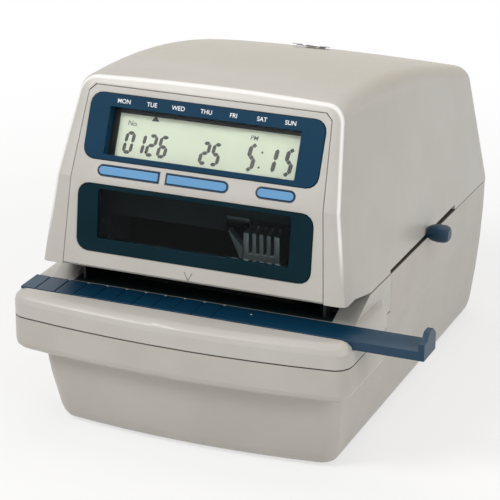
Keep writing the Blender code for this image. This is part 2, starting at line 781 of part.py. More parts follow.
def guide_bottom():
    return PLATFORM_HEIGHT + GUIDE_PROUD - GUIDE_THICKNESS


def make_paper_guide(root):
    """Sliding bar with ruled divisions on the left and an upright tab at its right end."""
    carrier = add_empty("guide_slide", root, (0, GUIDE_FRONT, guide_bottom()))
    left = GUIDE_LEFT_INSET - LEDGE_LEFT
    right = left + GUIDE_LENGTH
    bar = box("paper_guide", (left, 0, 0), (right, GUIDE_DEPTH, GUIDE_THICKNESS), carrier, "navy_plastic")
    peak = GUIDE_THICKNESS + GUIDE_TAB_RISE
    tab = [(0, 0), (GUIDE_DEPTH, 0), (GUIDE_DEPTH, GUIDE_THICKNESS + GUIDE_TAB_STEP),
           (GUIDE_DEPTH - GUIDE_TAB_STEP, peak), (GUIDE_TAB_STEP * 2, peak),
           (GUIDE_TAB_STEP, GUIDE_THICKNESS + GUIDE_TAB_STEP), (0, GUIDE_THICKNESS + GUIDE_TAB_STEP)]
    join(bar, prism("tab", tab, "X", right - GUIDE_TAB, right, carrier))
    middle = GUIDE_DEPTH / 2
    join(bar, box("keel", (KEEL_CENTRE - KEEL_LENGTH / 2, middle - KEEL_WIDTH / 2, -KEEL_DROP),
                  (KEEL_CENTRE + KEEL_LENGTH / 2, middle + KEEL_WIDTH / 2, GUIDE_THICKNESS / 2), carrier))
    for i in range(GUIDE_MARKS):
        x = left + GUIDE_FIRST_MARK + i * GUIDE_PITCH
        cut(bar, box("groove", (x - GUIDE_GROOVE / 2, -OVERRUN, GUIDE_THICKNESS - GUIDE_GROOVE / 2),
                     (x + GUIDE_GROOVE / 2, GUIDE_DEPTH + OVERRUN, GUIDE_THICKNESS + OVERRUN), carrier))
        cut(bar, prism("notch", [(x - GUIDE_NOTCH, GUIDE_DEPTH + GAP), (x, GUIDE_DEPTH - GUIDE_NOTCH),
                                 (x + GUIDE_NOTCH, GUIDE_DEPTH + GAP)],
                       "Z", GUIDE_THICKNESS - GUIDE_NOTCH, GUIDE_THICKNESS + OVERRUN, carrier))
    top = -KEEL_DROP - GAP
    box("guide_retainer", (KEEL_CENTRE - KEEL_LENGTH / 2, middle - RETAINER_WIDTH / 2,
                           top - RETAINER_THICKNESS),
        (KEEL_CENTRE + KEEL_LENGTH / 2, middle + RETAINER_WIDTH / 2, top), carrier, "sheet_steel")
    return bar


# Throat and chassis

def make_throat_floor(root):
    """Steel floor of the paper slot behind the cap, with two lugs that hold the stop's rail."""
    low = PLATFORM_HEIGHT - THROAT_PLATE
    front = CAP_BACK + GAP
    floor = box("throat_floor", (-THROAT_HALF, front, low), (THROAT_HALF, THROAT_BACK, PLATFORM_HEIGHT),
                root, "sheet_steel")
    for y in (front, THROAT_BACK - THROAT_PLATE):
        lug = box("rail_lug", (RAIL_X - SLIDER_HALF, y, low),
                  (RAIL_X + SLIDER_HALF, y + THROAT_PLATE, RAIL_Z + 2 * RAIL_RADIUS), root)
        join(floor, lug)
    cut(floor, rod("rail_hole", "Y", (RAIL_X, RAIL_Z), RAIL_RADIUS + GAP, 0, THROAT_BACK + OVERRUN, root))
    return floor


def make_mask_plate(root):
    """Upper wall of the slot: print aperture, switch slot and an upturned front lip."""
    half = SIDE_PLATE_INNER - GAP
    top = MASK_UNDERSIDE + MASK_PLATE
    plate = box("mask_plate", (-half, MASK_FRONT, MASK_UNDERSIDE),
                (half, THROAT_BACK - THROAT_PLATE, top), root, "sheet_steel")
    join(plate, box("mask_lip", (-half, MASK_FRONT, MASK_UNDERSIDE),
                    (half, MASK_FRONT + MASK_PLATE, top + MASK_LIP), root))
    aperture = box("aperture", (-APERTURE_HALF, PLATEN_FRONT + APERTURE_MARGIN, MASK_UNDERSIDE - OVERRUN),
                   (APERTURE_HALF, PLATEN_FRONT + PLATEN_DEPTH - APERTURE_MARGIN, top + OVERRUN), root)
    slot = box("feeler_slot", (SWITCH_X - SWITCH_WIDTH / 2 - GAP, SWITCH_Y - FEELER_THICKNESS,
                               MASK_UNDERSIDE - OVERRUN),
               (SWITCH_X + SWITCH_WIDTH / 2 + GAP, SWITCH_Y + FEELER_SWING_ROOM, top + OVERRUN), root)
    return cut(plate, aperture, slot)


def side_plate_outline():
    low = PLATFORM_HEIGHT + GAP
    back = THROAT_BACK - THROAT_PLATE - GAP
    return [(SIDE_PLATE_FRONT, low), (back, low), (back, SIDE_PLATE_LOW),
            (SIDE_PLATE_STEP_Y + SIDE_PLATE_CHAMFER, SIDE_PLATE_LOW),
            (SIDE_PLATE_STEP_Y, SIDE_PLATE_LOW + SIDE_PLATE_CHAMFER),
            (SIDE_PLATE_STEP_Y, SIDE_PLATE_TALL),
            (SIDE_PLATE_FRONT + SIDE_PLATE_CHAMFER / 2, SIDE_PLATE_TALL),
            (SIDE_PLATE_FRONT, SIDE_PLATE_TALL - SIDE_PLATE_CHAMFER)]


def make_side_plates(root):
    low = PLATFORM_HEIGHT + GAP
    for side, word in ((-1, "left"), (1, "right")):
        inner = side * SIDE_PLATE_INNER
        outer = side * (SIDE_PLATE_INNER + SHEET)
        plate = prism("side_plate_" + word, side_plate_outline(), "X", min(inner, outer),
                      max(inner, outer), root, "dark_steel")
        ends = sorted((outer - side * SHEET / 2, outer + side * FLANGE_REACH))
        join(plate, box("flange", (ends[0], FLANGE_FRONT, low), (ends[1], FLANGE_BACK, low + SHEET),
                        root))
        cut(plate, rod("shaft_hole", "X", (SHAFT_Y, SHAFT_Z), SHAFT_RADIUS + GAP, -THROAT_HALF,
                       THROAT_HALF, root))
        if side > 0:
            front = LEVER_Y - STOP_TRAVEL_FRONT - STOP_BAR_DEPTH
            back = LEVER_Y + STOP_TRAVEL_BACK + STOP_BAR_DEPTH
            cut(plate, box("stop_slot", (SIDE_PLATE_INNER - SHEET, front, 0),
                           (SIDE_PLATE_INNER + 2 * SHEET, back, MASK_UNDERSIDE), root))


def make_cross_parts(root):
    """Shaft, anti-turn rail, motor plate and rear bracket, which tie the side plates together."""
    half = SIDE_PLATE_INNER - GAP
    smooth(rod("carriage_shaft", "X", (SHAFT_Y, SHAFT_Z), SHAFT_RADIUS, -SIDE_PLATE_INNER - SHEET,
               SIDE_PLATE_INNER + SHEET, root, "chrome"))
    rail = FINGER_TOP + GAP
    box("carriage_rail", (-half, CARRIAGE_RAIL_Y, rail),
        (half, CARRIAGE_RAIL_Y + CARRIAGE_RAIL_DEPTH, rail + CARRIAGE_RAIL_THICKNESS), root,
        "sheet_steel")
    plate = box("motor_plate", (-half, MOTOR_PLATE_Y, MOTOR_PLATE_BOTTOM),
                (half, MOTOR_PLATE_Y + SHEET, SIDE_PLATE_TALL), root, "sheet_steel")
    cut(plate, rod("motor_hole", "Y", (PULLEY_LEFT_X, SHAFT_Z), AXLE_RADIUS + GAP, 0,
                   MOTOR_PLATE_Y + OVERRUN, root),
        rod("idler_hole", "Y", (PULLEY_RIGHT_X, SHAFT_Z), AXLE_RADIUS + GAP, 0, MOTOR_PLATE_Y + OVERRUN,
            root))


def lock_frame_location():
    """Where the lock's axis meets the roof, and the roof's slope there in radians."""
    y = roof_y(LOCK_SHARE)
    slope = math.atan2(2 * COVER_ROOF_DROP * LOCK_SHARE, roof_y(1) - roof_y(0))
    return (LOCK_X, y, roof_height(LOCK_SHARE) + COVER_CROWN), slope


def cam_middle():
    """Centre of the lock cam's plate, on the lock's axis, in the machine's frame."""
    place, slope = lock_frame_location()
    down = LOCK_LENGTH + GAP + CAM_THICKNESS / 2
    return (place[0], place[1] - down * math.sin(slope), place[2] - down * math.cos(slope))


def make_rear_bracket(root):
    """Upright on the mask plate, with an open strike slot that the lock's cam turns into."""
    back = REAR_BRACKET_Y
    front = back - SHEET
    low = MASK_UNDERSIDE + MASK_PLATE + GAP
    centre = cam_middle()
    _, slope = lock_frame_location()
    left = LOCK_X - REAR_BRACKET_HALF
    right = LOCK_X + REAR_BRACKET_HALF
    strike = centre[2] + (centre[1] - back) * math.tan(slope)
    top = strike + STRIKE_SLOT + REAR_BRACKET_HEAD
    bracket = box("rear_bracket", (left, front, low), (right, back, top), root, "sheet_steel")
    join(bracket, box("bracket_foot", (left, back - STRIKE_REACH, low), (right, back, low + SHEET), root))
    return cut(bracket, box("strike_slot",
                            (LOCK_X - CAM_WIDTH / 2 - STRIKE_SIDE, 0, strike - STRIKE_SLOT),
                            (right + OVERRUN, back + OVERRUN, strike + STRIKE_SLOT), root))


def make_platen(root):
    return box("platen", (-PLATEN_HALF, PLATEN_FRONT, PLATFORM_HEIGHT - PLATEN_THICKNESS),
               (PLATEN_HALF, PLATEN_FRONT + PLATEN_DEPTH, PLATFORM_HEIGHT), root, "rubber")


# Print carriage and its drive

def make_carriage(root):
    carrier = add_empty("carriage_slide", root, (CARRIAGE_X, SHAFT_Y, SHAFT_Z))

    def local(x, y, z):
        return (x, y - SHAFT_Y, z - SHAFT_Z)
    block = box("print_carriage", local(-CARRIAGE_HALF, CARRIAGE_FRONT, CARRIAGE_BOTTOM),
                local(CARRIAGE_HALF, CARRIAGE_BACK, CARRIAGE_TOP), carrier, "black_plastic")
    finger = box("finger", local(-CARRIAGE_HALF, CARRIAGE_FRONT, CARRIAGE_BOTTOM),
                 local(CARRIAGE_HALF, CARRIAGE_FRONT + FINGER_DEPTH, FINGER_TOP), carrier)
    belt_low = SHAFT_Z - PULLEY_RADIUS - BELT_THICKNESS
    clamp_top = SHAFT_Z - PULLEY_RADIUS + GAP + CLAMP_LIP
    clamp = box("clamp", local(-CLAMP_HALF, CARRIAGE_BACK - OVERRUN, belt_low - GAP - CLAMP_LIP),
                local(CLAMP_HALF, PULLEY_Y + PULLEY_WIDTH + GAP, clamp_top), carrier)
    join(block, finger, clamp)
    cut(block, box("belt_slot", local(-CARRIAGE_HALF, PULLEY_Y - GAP, belt_low - GAP),
                   local(CARRIAGE_HALF, PULLEY_Y + PULLEY_WIDTH + OVERRUN, SHAFT_Z - PULLEY_RADIUS + GAP),
                   carrier),
        rod("bush_bore", "X", (0, 0), SHAFT_RADIUS + BUSH_WALL + 2 * GAP, -CARRIAGE_HALF - GAP,
            CARRIAGE_HALF + GAP, carrier))
    for word, start in (("left", -CARRIAGE_HALF), ("right", CARRIAGE_HALF - BUSH_LENGTH)):
        bush = rod("carriage_bush_" + word, "X", (0, 0), SHAFT_RADIUS + BUSH_WALL + GAP, start,
                   start + BUSH_LENGTH, carrier, "brass")
        smooth(cut(bush, rod("bush_hole", "X", (0, 0), SHAFT_RADIUS + GAP, start - GAP,
                             start + BUSH_LENGTH + GAP, carrier)))
    make_print_head(carrier, local)


def make_print_head(carrier, local):
    """Finned head block with a round nose over the ribbon and a thin ribbon blade on its left."""
    back = CARRIAGE_FRONT - GAP
    head = box("print_head", local(-HEAD_HALF, HEAD_FRONT, HEAD_BOTTOM), local(HEAD_HALF, back, HEAD_TOP),
               carrier, "grey_plastic")
    nose_y = PLATEN_FRONT + PLATEN_DEPTH / 2 - SHAFT_Y
    join(head, rod("nose", "Z", (0, nose_y), NOSE_RADIUS, NOSE_TIP - SHAFT_Z,
                   HEAD_BOTTOM + OVERRUN / 2 - SHAFT_Z, carrier, steps=16))
    pitch = 2 * HEAD_HALF / (HEAD_FINS + 1)
    for i in range(HEAD_FINS):
        x = (i + 1) * pitch - HEAD_HALF
        cut(head, box("fin_gap", local(x - HEAD_FIN / 2, HEAD_FRONT - OVERRUN,
                                       HEAD_BOTTOM + 3 * HEAD_FIN),
                      local(x + HEAD_FIN / 2, back - 3 * HEAD_FIN, HEAD_TOP + OVERRUN), carrier))
    left = -HEAD_HALF - GAP
    blade = [(left, HEAD_BOTTOM - SHAFT_Z + BLADE_REACH), (left - BLADE_REACH, HEAD_TOP - SHAFT_Z),
             (left - BLADE_REACH - BLADE_THICKNESS, HEAD_TOP - SHAFT_Z),
             (left - BLADE_THICKNESS, HEAD_BOTTOM - SHAFT_Z),
             (left, HEAD_BOTTOM - SHAFT_Z)]
    prism("ribbon_blade", blade, "Y", HEAD_FRONT - SHAFT_Y, HEAD_FRONT + BLADE_WIDTH - SHAFT_Y, carrier,
          "chrome")


def make_pulley(name, x, root, finish):
    """Belt pulley with two flanges, its axle turning in the motor plate."""
    carrier = add_empty(name + "_axis", root, (x, PULLEY_Y, SHAFT_Z))
    hub = PULLEY_RADIUS - GAP
    rim = PULLEY_RADIUS + PULLEY_FLANGE
    stack = ((-PULLEY_FLANGE - GAP, rim), (-GAP, rim), (-GAP, hub), (PULLEY_WIDTH + GAP, hub),
             (PULLEY_WIDTH + GAP, rim), (PULLEY_WIDTH + GAP + PULLEY_FLANGE / 2, rim),
             (PULLEY_WIDTH + GAP + PULLEY_FLANGE / 2, AXLE_RADIUS),
             (MOTOR_PLATE_Y - PULLEY_Y + SHEET, AXLE_RADIUS))
    pulley = turned(name, stack, "Y", carrier, finish)
    return smooth(cut(pulley, box(name + "_flat",
                                  (-PULLEY_RADIUS / 2, -PULLEY_FLANGE - OVERRUN, -AXLE_RADIUS / 2),
                                  (PULLEY_RADIUS / 2, -PULLEY_FLANGE / 2 - GAP, AXLE_RADIUS / 2),
                                  carrier)))


def make_belt(root):
    """One closed loop round both pulleys."""
    def loop(radius):
        points = arc((PULLEY_RIGHT_X, SHAFT_Z), radius, -90, 90, 12)
        return points + arc((PULLEY_LEFT_X, SHAFT_Z), radius, 90, 270, 12)
    outer = prism("drive_belt", loop(PULLEY_RADIUS + BELT_THICKNESS), "Y", PULLEY_Y,
                  PULLEY_Y + PULLEY_WIDTH, root, "rubber")
    inner = prism("belt_inside", loop(PULLEY_RADIUS), "Y", 0, PULLEY_Y + PULLEY_WIDTH + OVERRUN, root)
    return cut(outer, inner)


def make_drive(root):
    make_pulley("motor_pulley", PULLEY_LEFT_X, root, "brass")
    make_pulley("idler_pulley", PULLEY_RIGHT_X, root, "black_plastic")
    make_belt(root)
    front = MOTOR_PLATE_Y + SHEET + GAP
    smooth(rod("carriage_motor", "Y", (PULLEY_LEFT_X, SHAFT_Z), MOTOR_RADIUS, front, front + MOTOR_LENGTH,
               root, "dark_steel", 28))


def make_ribbon_parts(root):
    """Ribbon cassette with its two arms, the ribbon between them and the winding knob."""
    body = box("ribbon_cassette", (-CASSETTE_HALF, CASSETTE_FRONT, CASSETTE_BOTTOM),
               (CASSETTE_HALF, CASSETTE_BACK, CASSETTE_TOP), root, "black_plastic")
    skirt = box("skirt", (-CASSETTE_HALF, CASSETTE_FRONT, CASSETTE_SKIRT_BOTTOM),
                (CASSETTE_SKIRT_RIGHT, CASSETTE_FRONT + CASSETTE_SKIRT, CASSETTE_TOP), root)
    join(body, skirt)
    for side in (-1, 1):
        ends = sorted((side * CASSETTE_HALF, side * (CASSETTE_HALF - ARM_WIDTH)))
        join(body, box("arm", (ends[0], ARM_FRONT, ARM_BOTTOM), (ends[1], ARM_BACK, CASSETTE_TOP), root))
    knob_x = -CASSETTE_HALF + ARM_WIDTH / 2
    cut(body, rod("knob_bore", "Y", (knob_x, KNOB_Z), KNOB_STEM + GAP, 0, ARM_FRONT + KNOB_LENGTH, root))
    low = MASK_UNDERSIDE + MASK_PLATE + RIBBON_LIFT
    reach = CASSETTE_HALF - ARM_WIDTH - GAP
    box("ribbon", (-reach, PLATEN_FRONT, low),
        (reach, PLATEN_FRONT + PLATEN_DEPTH - GAP, low + RIBBON_HEIGHT), root, "ribbon_cloth")
    carrier = add_empty("ribbon_knob_axis", root, (knob_x, ARM_FRONT, KNOB_Z))
    stack = ((-KNOB_LENGTH, KNOB_RADIUS - GAP), (-KNOB_LENGTH + GAP, KNOB_RADIUS), (-GAP, KNOB_RADIUS),
             (-GAP, KNOB_STEM), (KNOB_LENGTH - GAP, KNOB_STEM))
    knob = turned("ribbon_knob", stack, "Y", carrier, "black_plastic")
    return cut(knob, box("knob_slot", (-KNOB_RADIUS - GAP, -KNOB_LENGTH - OVERRUN, -KNOB_STEM / 4),
                         (KNOB_RADIUS + GAP, -KNOB_LENGTH * 0.7, KNOB_STEM / 4), carrier))


# Paper stop

def make_stop(root):
    """Rail, slider, stop bar in the slot and the lever that comes out of the side."""
    smooth(rod("stop_rail", "Y", (RAIL_X, RAIL_Z), RAIL_RADIUS, CAP_BACK + GAP, THROAT_BACK, root,
               "chrome"))
    carrier = add_empty("stop_slide", root, (RAIL_X, LEVER_Y, RAIL_Z))

    def local(x, y, z):
        return (x - RAIL_X, y - LEVER_Y, z - RAIL_Z)
    half = SLIDER_DEPTH / 2
    slider = box("stop_slider", local(RAIL_X - SLIDER_HALF, LEVER_Y - half, SLIDER_BOTTOM),
                 local(RAIL_X + SLIDER_HALF, LEVER_Y + half, SLIDER_TOP), carrier, "black_plastic")
    cut(slider, rod("slider_bore", "Y", (0, 0), RAIL_RADIUS + GAP, -SLIDER_DEPTH, SLIDER_DEPTH, carrier))
    stem_left = RAIL_X + SLIDER_HALF + GAP
    knob_left = wall_half(PARTING_FRONT) + GAP
    knob_middle = (LEVER_STEM_BOTTOM + LEVER_STEM_TOP) / 2 + LEVER_KNOB_LIFT
    lever = box("stop_lever", local(stem_left, LEVER_Y - LEVER_STEM_DEPTH / 2, LEVER_STEM_BOTTOM),
                local(knob_left + LEVER_KNOB_REACH / 2, LEVER_Y + LEVER_STEM_DEPTH / 2, LEVER_STEM_TOP),
                carrier, "navy_plastic")
    outline = round_box_outline(-LEVER_KNOB_DEPTH / 2, LEVER_KNOB_DEPTH / 2,
                                -LEVER_KNOB_HEIGHT / 2, LEVER_KNOB_HEIGHT / 2, [LEVER_KNOB_ROUND] * 4)
    rings = [[(knob_left - RAIL_X + LEVER_KNOB_REACH * share, y * size, knob_middle - RAIL_Z + z * size)
              for y, z in outline] for share, size in LEVER_KNOB_SHARES]
    knob = loft("lever_knob", rings, carrier)
    join(lever, knob)
    smooth(lever)
    box("paper_stop", local(STOP_BAR_LEFT, LEVER_Y - STOP_BAR_DEPTH / 2, STOP_BAR_BOTTOM),
        local(RAIL_X - SLIDER_HALF - GAP, LEVER_Y + STOP_BAR_DEPTH / 2, STOP_BAR_TOP), carrier,
        "sheet_steel")


def make_paper_switch(root):
    """Small switch on the mask plate, with a hinged feeler that dips into the slot."""
    base = MASK_UNDERSIDE + MASK_PLATE + GAP
    front = SWITCH_Y + FEELER_SWING_ROOM + GAP
    body = box("paper_switch", (SWITCH_X - SWITCH_WIDTH / 2, front, base),
               (SWITCH_X + SWITCH_WIDTH / 2, front + SWITCH_LENGTH, base + SWITCH_HEIGHT), root,
               "black_plastic")
    pivot_y = SWITCH_Y
    pivot_z = base + SWITCH_HEIGHT - 2 * AXLE_RADIUS
    ear = SWITCH_WIDTH / 2 + GAP + FEELER_THICKNESS
    for side in (-1, 1):
        ends = sorted((SWITCH_X + side * (SWITCH_WIDTH / 2 + GAP), SWITCH_X + side * ear))
        cheek = box("ear", (ends[0], pivot_y - 2 * AXLE_RADIUS, base),
                    (ends[1], front + SWITCH_LENGTH, base + SWITCH_HEIGHT), root)
        bridge_ends = sorted((SWITCH_X + side * SWITCH_WIDTH / 4, SWITCH_X + side * ear))
        bridge = box("bridge", (bridge_ends[0], front + SWITCH_LENGTH / 2, base),
                     (bridge_ends[1], front + SWITCH_LENGTH, base + SWITCH_HEIGHT), root)
        join(body, cheek, bridge)
    cut(body, rod("pivot_hole", "X", (pivot_y, pivot_z), AXLE_RADIUS + GAP, SWITCH_X - SWITCH_LENGTH,
                  SWITCH_X + SWITCH_LENGTH, root))
    carrier = add_empty("feeler_axis", root, (SWITCH_X, pivot_y, pivot_z))
    half = SWITCH_WIDTH / 2 - GAP
    feeler = rod("paper_feeler", "X", (0, 0), AXLE_RADIUS, -ear, ear, carrier, "sheet_steel", 12)
    drop = pivot_z - MASK_UNDERSIDE + FEELER_DROP
    join(feeler, box("feeler_leaf", (-half, -FEELER_THICKNESS / 2, -drop),
                     (half, FEELER_THICKNESS / 2, 0), carrier))
    return feeler


# Electrics in the pedestal

def board_floor():
    return BASE_LIFT + PLATE_RECESS + PLATE_THICKNESS


def make_main_board(root):
    """Circuit board with its soldered chips, over the bottom plate's standoffs."""
    low = board_floor() + MAIN_BOARD_HEIGHT
    board = box("main_board", (-MAIN_BOARD_HALF, MAIN_BOARD_FRONT, low),
                (MAIN_BOARD_HALF, MAIN_BOARD_BACK, low + BOARD_THICKNESS), root, "board_green")
    top = low + BOARD_THICKNESS
    for i in (-1, 0, 1):
        for j in (0, 1):
            half = CHIP_SIZE * (1 + (i + j) % 2) / 2
            x = 2 * CHIP_SIZE * i
            y = MAIN_BOARD_FRONT + CHIP_SIZE * (2 + 3 * j)
            join(board, box("chip", (x - CHIP_SIZE / 2, y - half, low + BOARD_THICKNESS / 2),
                            (x + CHIP_SIZE / 2, y + half, top + CHIP_HEIGHT), root))
    return board


def make_transformer(root):
    """Laminated core with a coil round its middle leg, standing on the bottom plate."""
    floor = board_floor() + GAP
    left = CORE_X - CORE_WIDTH / 2
    right = CORE_X + CORE_WIDTH / 2
    front = CORE_Y - CORE_DEPTH / 2
    back = CORE_Y + CORE_DEPTH / 2
    thick = CORE_DEPTH / 4
    core = box("transformer_core", (left, CORE_Y - thick, floor),
               (right, CORE_Y + thick, floor + CORE_HEIGHT), root, "dark_steel")
    for side in (-1, 1):
        ends = sorted((CORE_X + side * CORE_LEG / 2, CORE_X + side * (CORE_WIDTH / 2 - CORE_LEG)))
        cut(core, box("core_window", (ends[0], front, floor + CORE_LEG),
                      (ends[1], back, floor + CORE_HEIGHT - CORE_LEG), root))
    reach = CORE_WIDTH / 2 - CORE_LEG - GAP
    coil = box("transformer_coil", (CORE_X - reach, front, floor + CORE_LEG + GAP),
               (CORE_X + reach, back, floor + CORE_HEIGHT - CORE_LEG - GAP), root, "coil_amber")
    return cut(coil, box("coil_hole", (CORE_X - CORE_LEG / 2 - GAP, CORE_Y - thick - GAP, 0),
                         (CORE_X + CORE_LEG / 2 + GAP, CORE_Y + thick + GAP, floor + CORE_HEIGHT), root))


def make_battery(root):
    floor = board_floor() + GAP
    cell_y = BATTERY_Y - BATTERY_LENGTH / 2
    first = rod("backup_battery", "Y", (BATTERY_X - BATTERY_RADIUS + GAP, floor + BATTERY_RADIUS),
                BATTERY_RADIUS,
                cell_y, cell_y + BATTERY_LENGTH, root, "battery_wrap", 16)
    second = rod("second_cell", "Y", (BATTERY_X + BATTERY_RADIUS - GAP, floor + BATTERY_RADIUS),
                 BATTERY_RADIUS,
                 cell_y, cell_y + BATTERY_LENGTH, root, None, 16)
    return smooth(join(first, second))


def make_power_inlet(root):
    """Two-pin mains inlet in the back wall."""
    rear = back_of(INLET_Z - INLET_HEIGHT / 2) - WALL
    body = box("power_inlet", (INLET_X - INLET_WIDTH / 2, rear + WALL - INLET_DEPTH,
                               INLET_Z - INLET_HEIGHT / 2),
               (INLET_X + INLET_WIDTH / 2, rear + WALL - GAP, INLET_Z + INLET_HEIGHT / 2), root,
               "black_plastic")
    depth = INLET_DEPTH - WALL
    cut(body, box("inlet_well", (INLET_X - INLET_WIDTH / 2 + WALL, rear + WALL - depth,
                                 INLET_Z - INLET_HEIGHT / 2 + WALL),
                  (INLET_X + INLET_WIDTH / 2 - WALL, rear + WALL + OVERRUN,
                   INLET_Z + INLET_HEIGHT / 2 - WALL), root))
    for side in (-1, 1):
        join(body, rod("pin", "Y", (INLET_X + side * INLET_PIN_SPREAD / 2, INLET_Z), INLET_PIN_RADIUS,
                       rear + WALL - depth - WALL / 2, rear - WALL / 2, root, steps=12))
    return body


# Cover

def panel_y(height):
    """Front face of the cover at a height: two flat panels that meet at the bend."""
    if height < BEND_Z:
        return BEND_Y - (BEND_Z - height) * math.tan(math.radians(LOWER_PANEL_ANGLE))
    return BEND_Y + (height - BEND_Z) * math.tan(math.radians(UPPER_PANEL_ANGLE))


def cover_back(height):
    return BASE_DEPTH_PARTING - (height - PARTING_REAR) * COVER_BACK_LEAN


def cover_half(height):
    return BASE_WIDTH_PARTING / 2 - (height - PARTING_FRONT) * COVER_TAPER


def roof_y(share):
    front = panel_y(COVER_FRONT_HEIGHT) + COVER_FRONT_EDGE
    back = cover_back(COVER_FRONT_HEIGHT - COVER_ROOF_DROP) - COVER_REAR_EDGE
    return front + (back - front) * share


def roof_height(share):
    return COVER_FRONT_HEIGHT - COVER_ROOF_DROP * share * share


def cover_arch(share, inset):
    """Left foot, roof and right foot of the cover's section, as (across, height) pairs."""
    height = roof_height(share) - inset
    radius = COVER_ROOF_CORNER - inset
    shoulder = height - radius
    low = PARTING_REAR - OVERRUN - inset
    side = [(cover_half(z) - inset, z) for z in (low, (low + BEND_Z) / 2, BEND_Z)]
    centre = cover_half(shoulder) - inset - radius
    side += arc((centre, shoulder), radius, 0, 90, 6)
    roof = [(centre * x, height + COVER_CROWN * (1 - x * x)) for x in (2 / 3, 1 / 3)]
    right = side + roof
    return [(-x, z) for x, z in right] + [(0, height + COVER_CROWN)] + right[::-1]


def cover_sections(inset):
    """Sections from front to back; the first and last few shrink to round the cover's ends."""
    sections = []
    front_edge = COVER_FRONT_EDGE - inset / 2
    rear_edge = COVER_REAR_EDGE - inset
    for degrees in (0, 45):
        shrink = front_edge * (1 - math.sin(math.radians(degrees)))
        push = front_edge * (1 - math.cos(math.radians(degrees)))
        sections.append([(x, panel_y(z) + inset + push, z) for x, z in cover_arch(0, inset + shrink)])
    for i in range(COVER_STEPS + 1):
        section = []
        for x, z in cover_arch(i / COVER_STEPS, inset):
            near = panel_y(z) + inset + front_edge
            far = cover_back(z) - inset - rear_edge
            section.append((x, near + (far - near) * i / COVER_STEPS, z))
        sections.append(section)
    for degrees in (60, 30, 0):
        shrink = rear_edge * (1 - math.sin(math.radians(degrees)))
        push = rear_edge * (1 - math.cos(math.radians(degrees)))
        sections.append([(x, cover_back(z) - inset - push, z) for x, z in cover_arch(1, inset + shrink)])
    return sections


def cover_form(name, inset, root):
    """The cover's outer form, or its hollow when an inset is given."""
    bm = bmesh.new()
    sections = [[bm.verts.new(point) for point in section] for section in cover_sections(inset)]
    last = len(sections[0]) - 1
    for near, far in zip(sections, sections[1:]):
        for i in range(last):
            bm.faces.new((near[i], near[i + 1], far[i + 1], far[i]))
        bm.faces.new((near[last], near[0], far[0], far[last]))
    middle = last // 2
    for section in (sections[0], sections[-1]):
        for i in range(middle - 1):
            bm.faces.new((section[i], section[i + 1], section[last - i - 1], section[last - i]))
        bm.faces.new((section[middle - 1], section[middle], section[middle + 1]))
    return add_solid(name, bm, root)


def bezel_half(height):
    share = (BEND_Z - height) / (BEND_Z - LIP_HEIGHT)
    return BEZEL_HALF_BEND + (BEZEL_HALF_LIP - BEZEL_HALF_BEND) * share


def bezel_levels(low, high, chamfer):
    """Heights of the bezel's rows, each with how far its face sinks and its sides draw in."""
    return [(low, chamfer, 0), (low + chamfer, 0, 0), (BEND_Z, 0, 0), (high - BEZEL_TOP_CORNER, 0, 0),
            (high, 0, BEZEL_TOP_CORNER)]


def bezel_solid(name, grow, front, depth, low, high, root, finish=None):
    """A bent plate that follows the two panels; grow widens it, front and depth are its faces."""
    levels = bezel_levels(low, high, BEZEL_CHAMFER)
    outer = [(panel_y(z) + front + sink, z, narrow) for z, sink, narrow in levels]
    inner = [(panel_y(z) + depth, z, narrow) for z, _, narrow in reversed(levels)]
    bm = bmesh.new()
    rows = [[bm.verts.new((side * (bezel_half(z) + grow - narrow), y, z)) for y, z,
             narrow in outer + inner]
            for side in (-1, 1)]
    count = len(rows[0])
    for i in range(count):
        j = (i + 1) % count
        bm.faces.new((rows[0][i], rows[0][j], rows[1][j], rows[1][i]))
    for row in rows:
        for i in range(len(levels) - 1):
            bm.faces.new((row[i], row[i + 1], row[count - i - 2], row[count - i - 1]))
    return add_solid(name, bm, root, finish)


def make_cover_shell(root, lock):
    shell = cover_form("cover_shell", 0, root)
    shell.data.materials.append(finish_of("beige_plastic"))
    cut(shell, cover_form("cover_hollow", WALL, root))
    front = -LEDGE_FRONT_REACH - OVERRUN
    rear = BASE_DEPTH_PARTING + OVERRUN
    wide = LEDGE_LEFT + OVERRUN
    low = PARTING_REAR - 4 * OVERRUN
    edge = [(front, low), (rear, low), (rear, parting_at(rear) + GAP),
            (CHEEK_HEAD_Y, PARTING_FRONT + GAP),
            (CHEEK_FOOT_Y, LIP_HEIGHT), (front, LIP_HEIGHT)]
    notch = box("lever_notch", (LEDGE_RIGHT / 2,
                                LEVER_Y - STOP_TRAVEL_FRONT - LEVER_KNOB_DEPTH / 2 - NOTCH_MARGIN, low),
                (wide, LEVER_Y + STOP_TRAVEL_BACK + LEVER_KNOB_DEPTH / 2 + NOTCH_MARGIN, NOTCH_TOP), root)
    opening = bezel_solid("bezel_opening", GAP, -OVERRUN, OVERRUN, LIP_HEIGHT - OVERRUN, BEZEL_TOP + GAP,
                          root)
    hole = rod("lock_hole", "Z", (0, 0), LOCK_RADIUS + GAP, -OVERRUN, OVERRUN, lock)
    return smooth(cut(shell, prism("edge_tool", edge, "X", -wide, wide, root), notch, opening, hole), 30)


def make_panels(root):
    """Frames that lie on the two front panels: X right, Y up the panel, Z outwards."""
    place = (0, BEND_Y, BEND_Z)
    upper = add_empty("upper_panel", root, place, (math.radians(90 - UPPER_PANEL_ANGLE), 0, 0))
    lower = add_empty("lower_panel", root, place, (math.radians(90 - LOWER_PANEL_ANGLE), 0, 0))
    return upper, lower


def button_radii(name, grow):
    _, _, left_round, right_round = BUTTONS[name]
    full = (BUTTON_HIGH - BUTTON_LOW) / 2 + grow
    left = full if left_round else BUTTON_SQUARE_ROUND
    right = full if right_round else BUTTON_SQUARE_ROUND
    return (left, right, right, left)


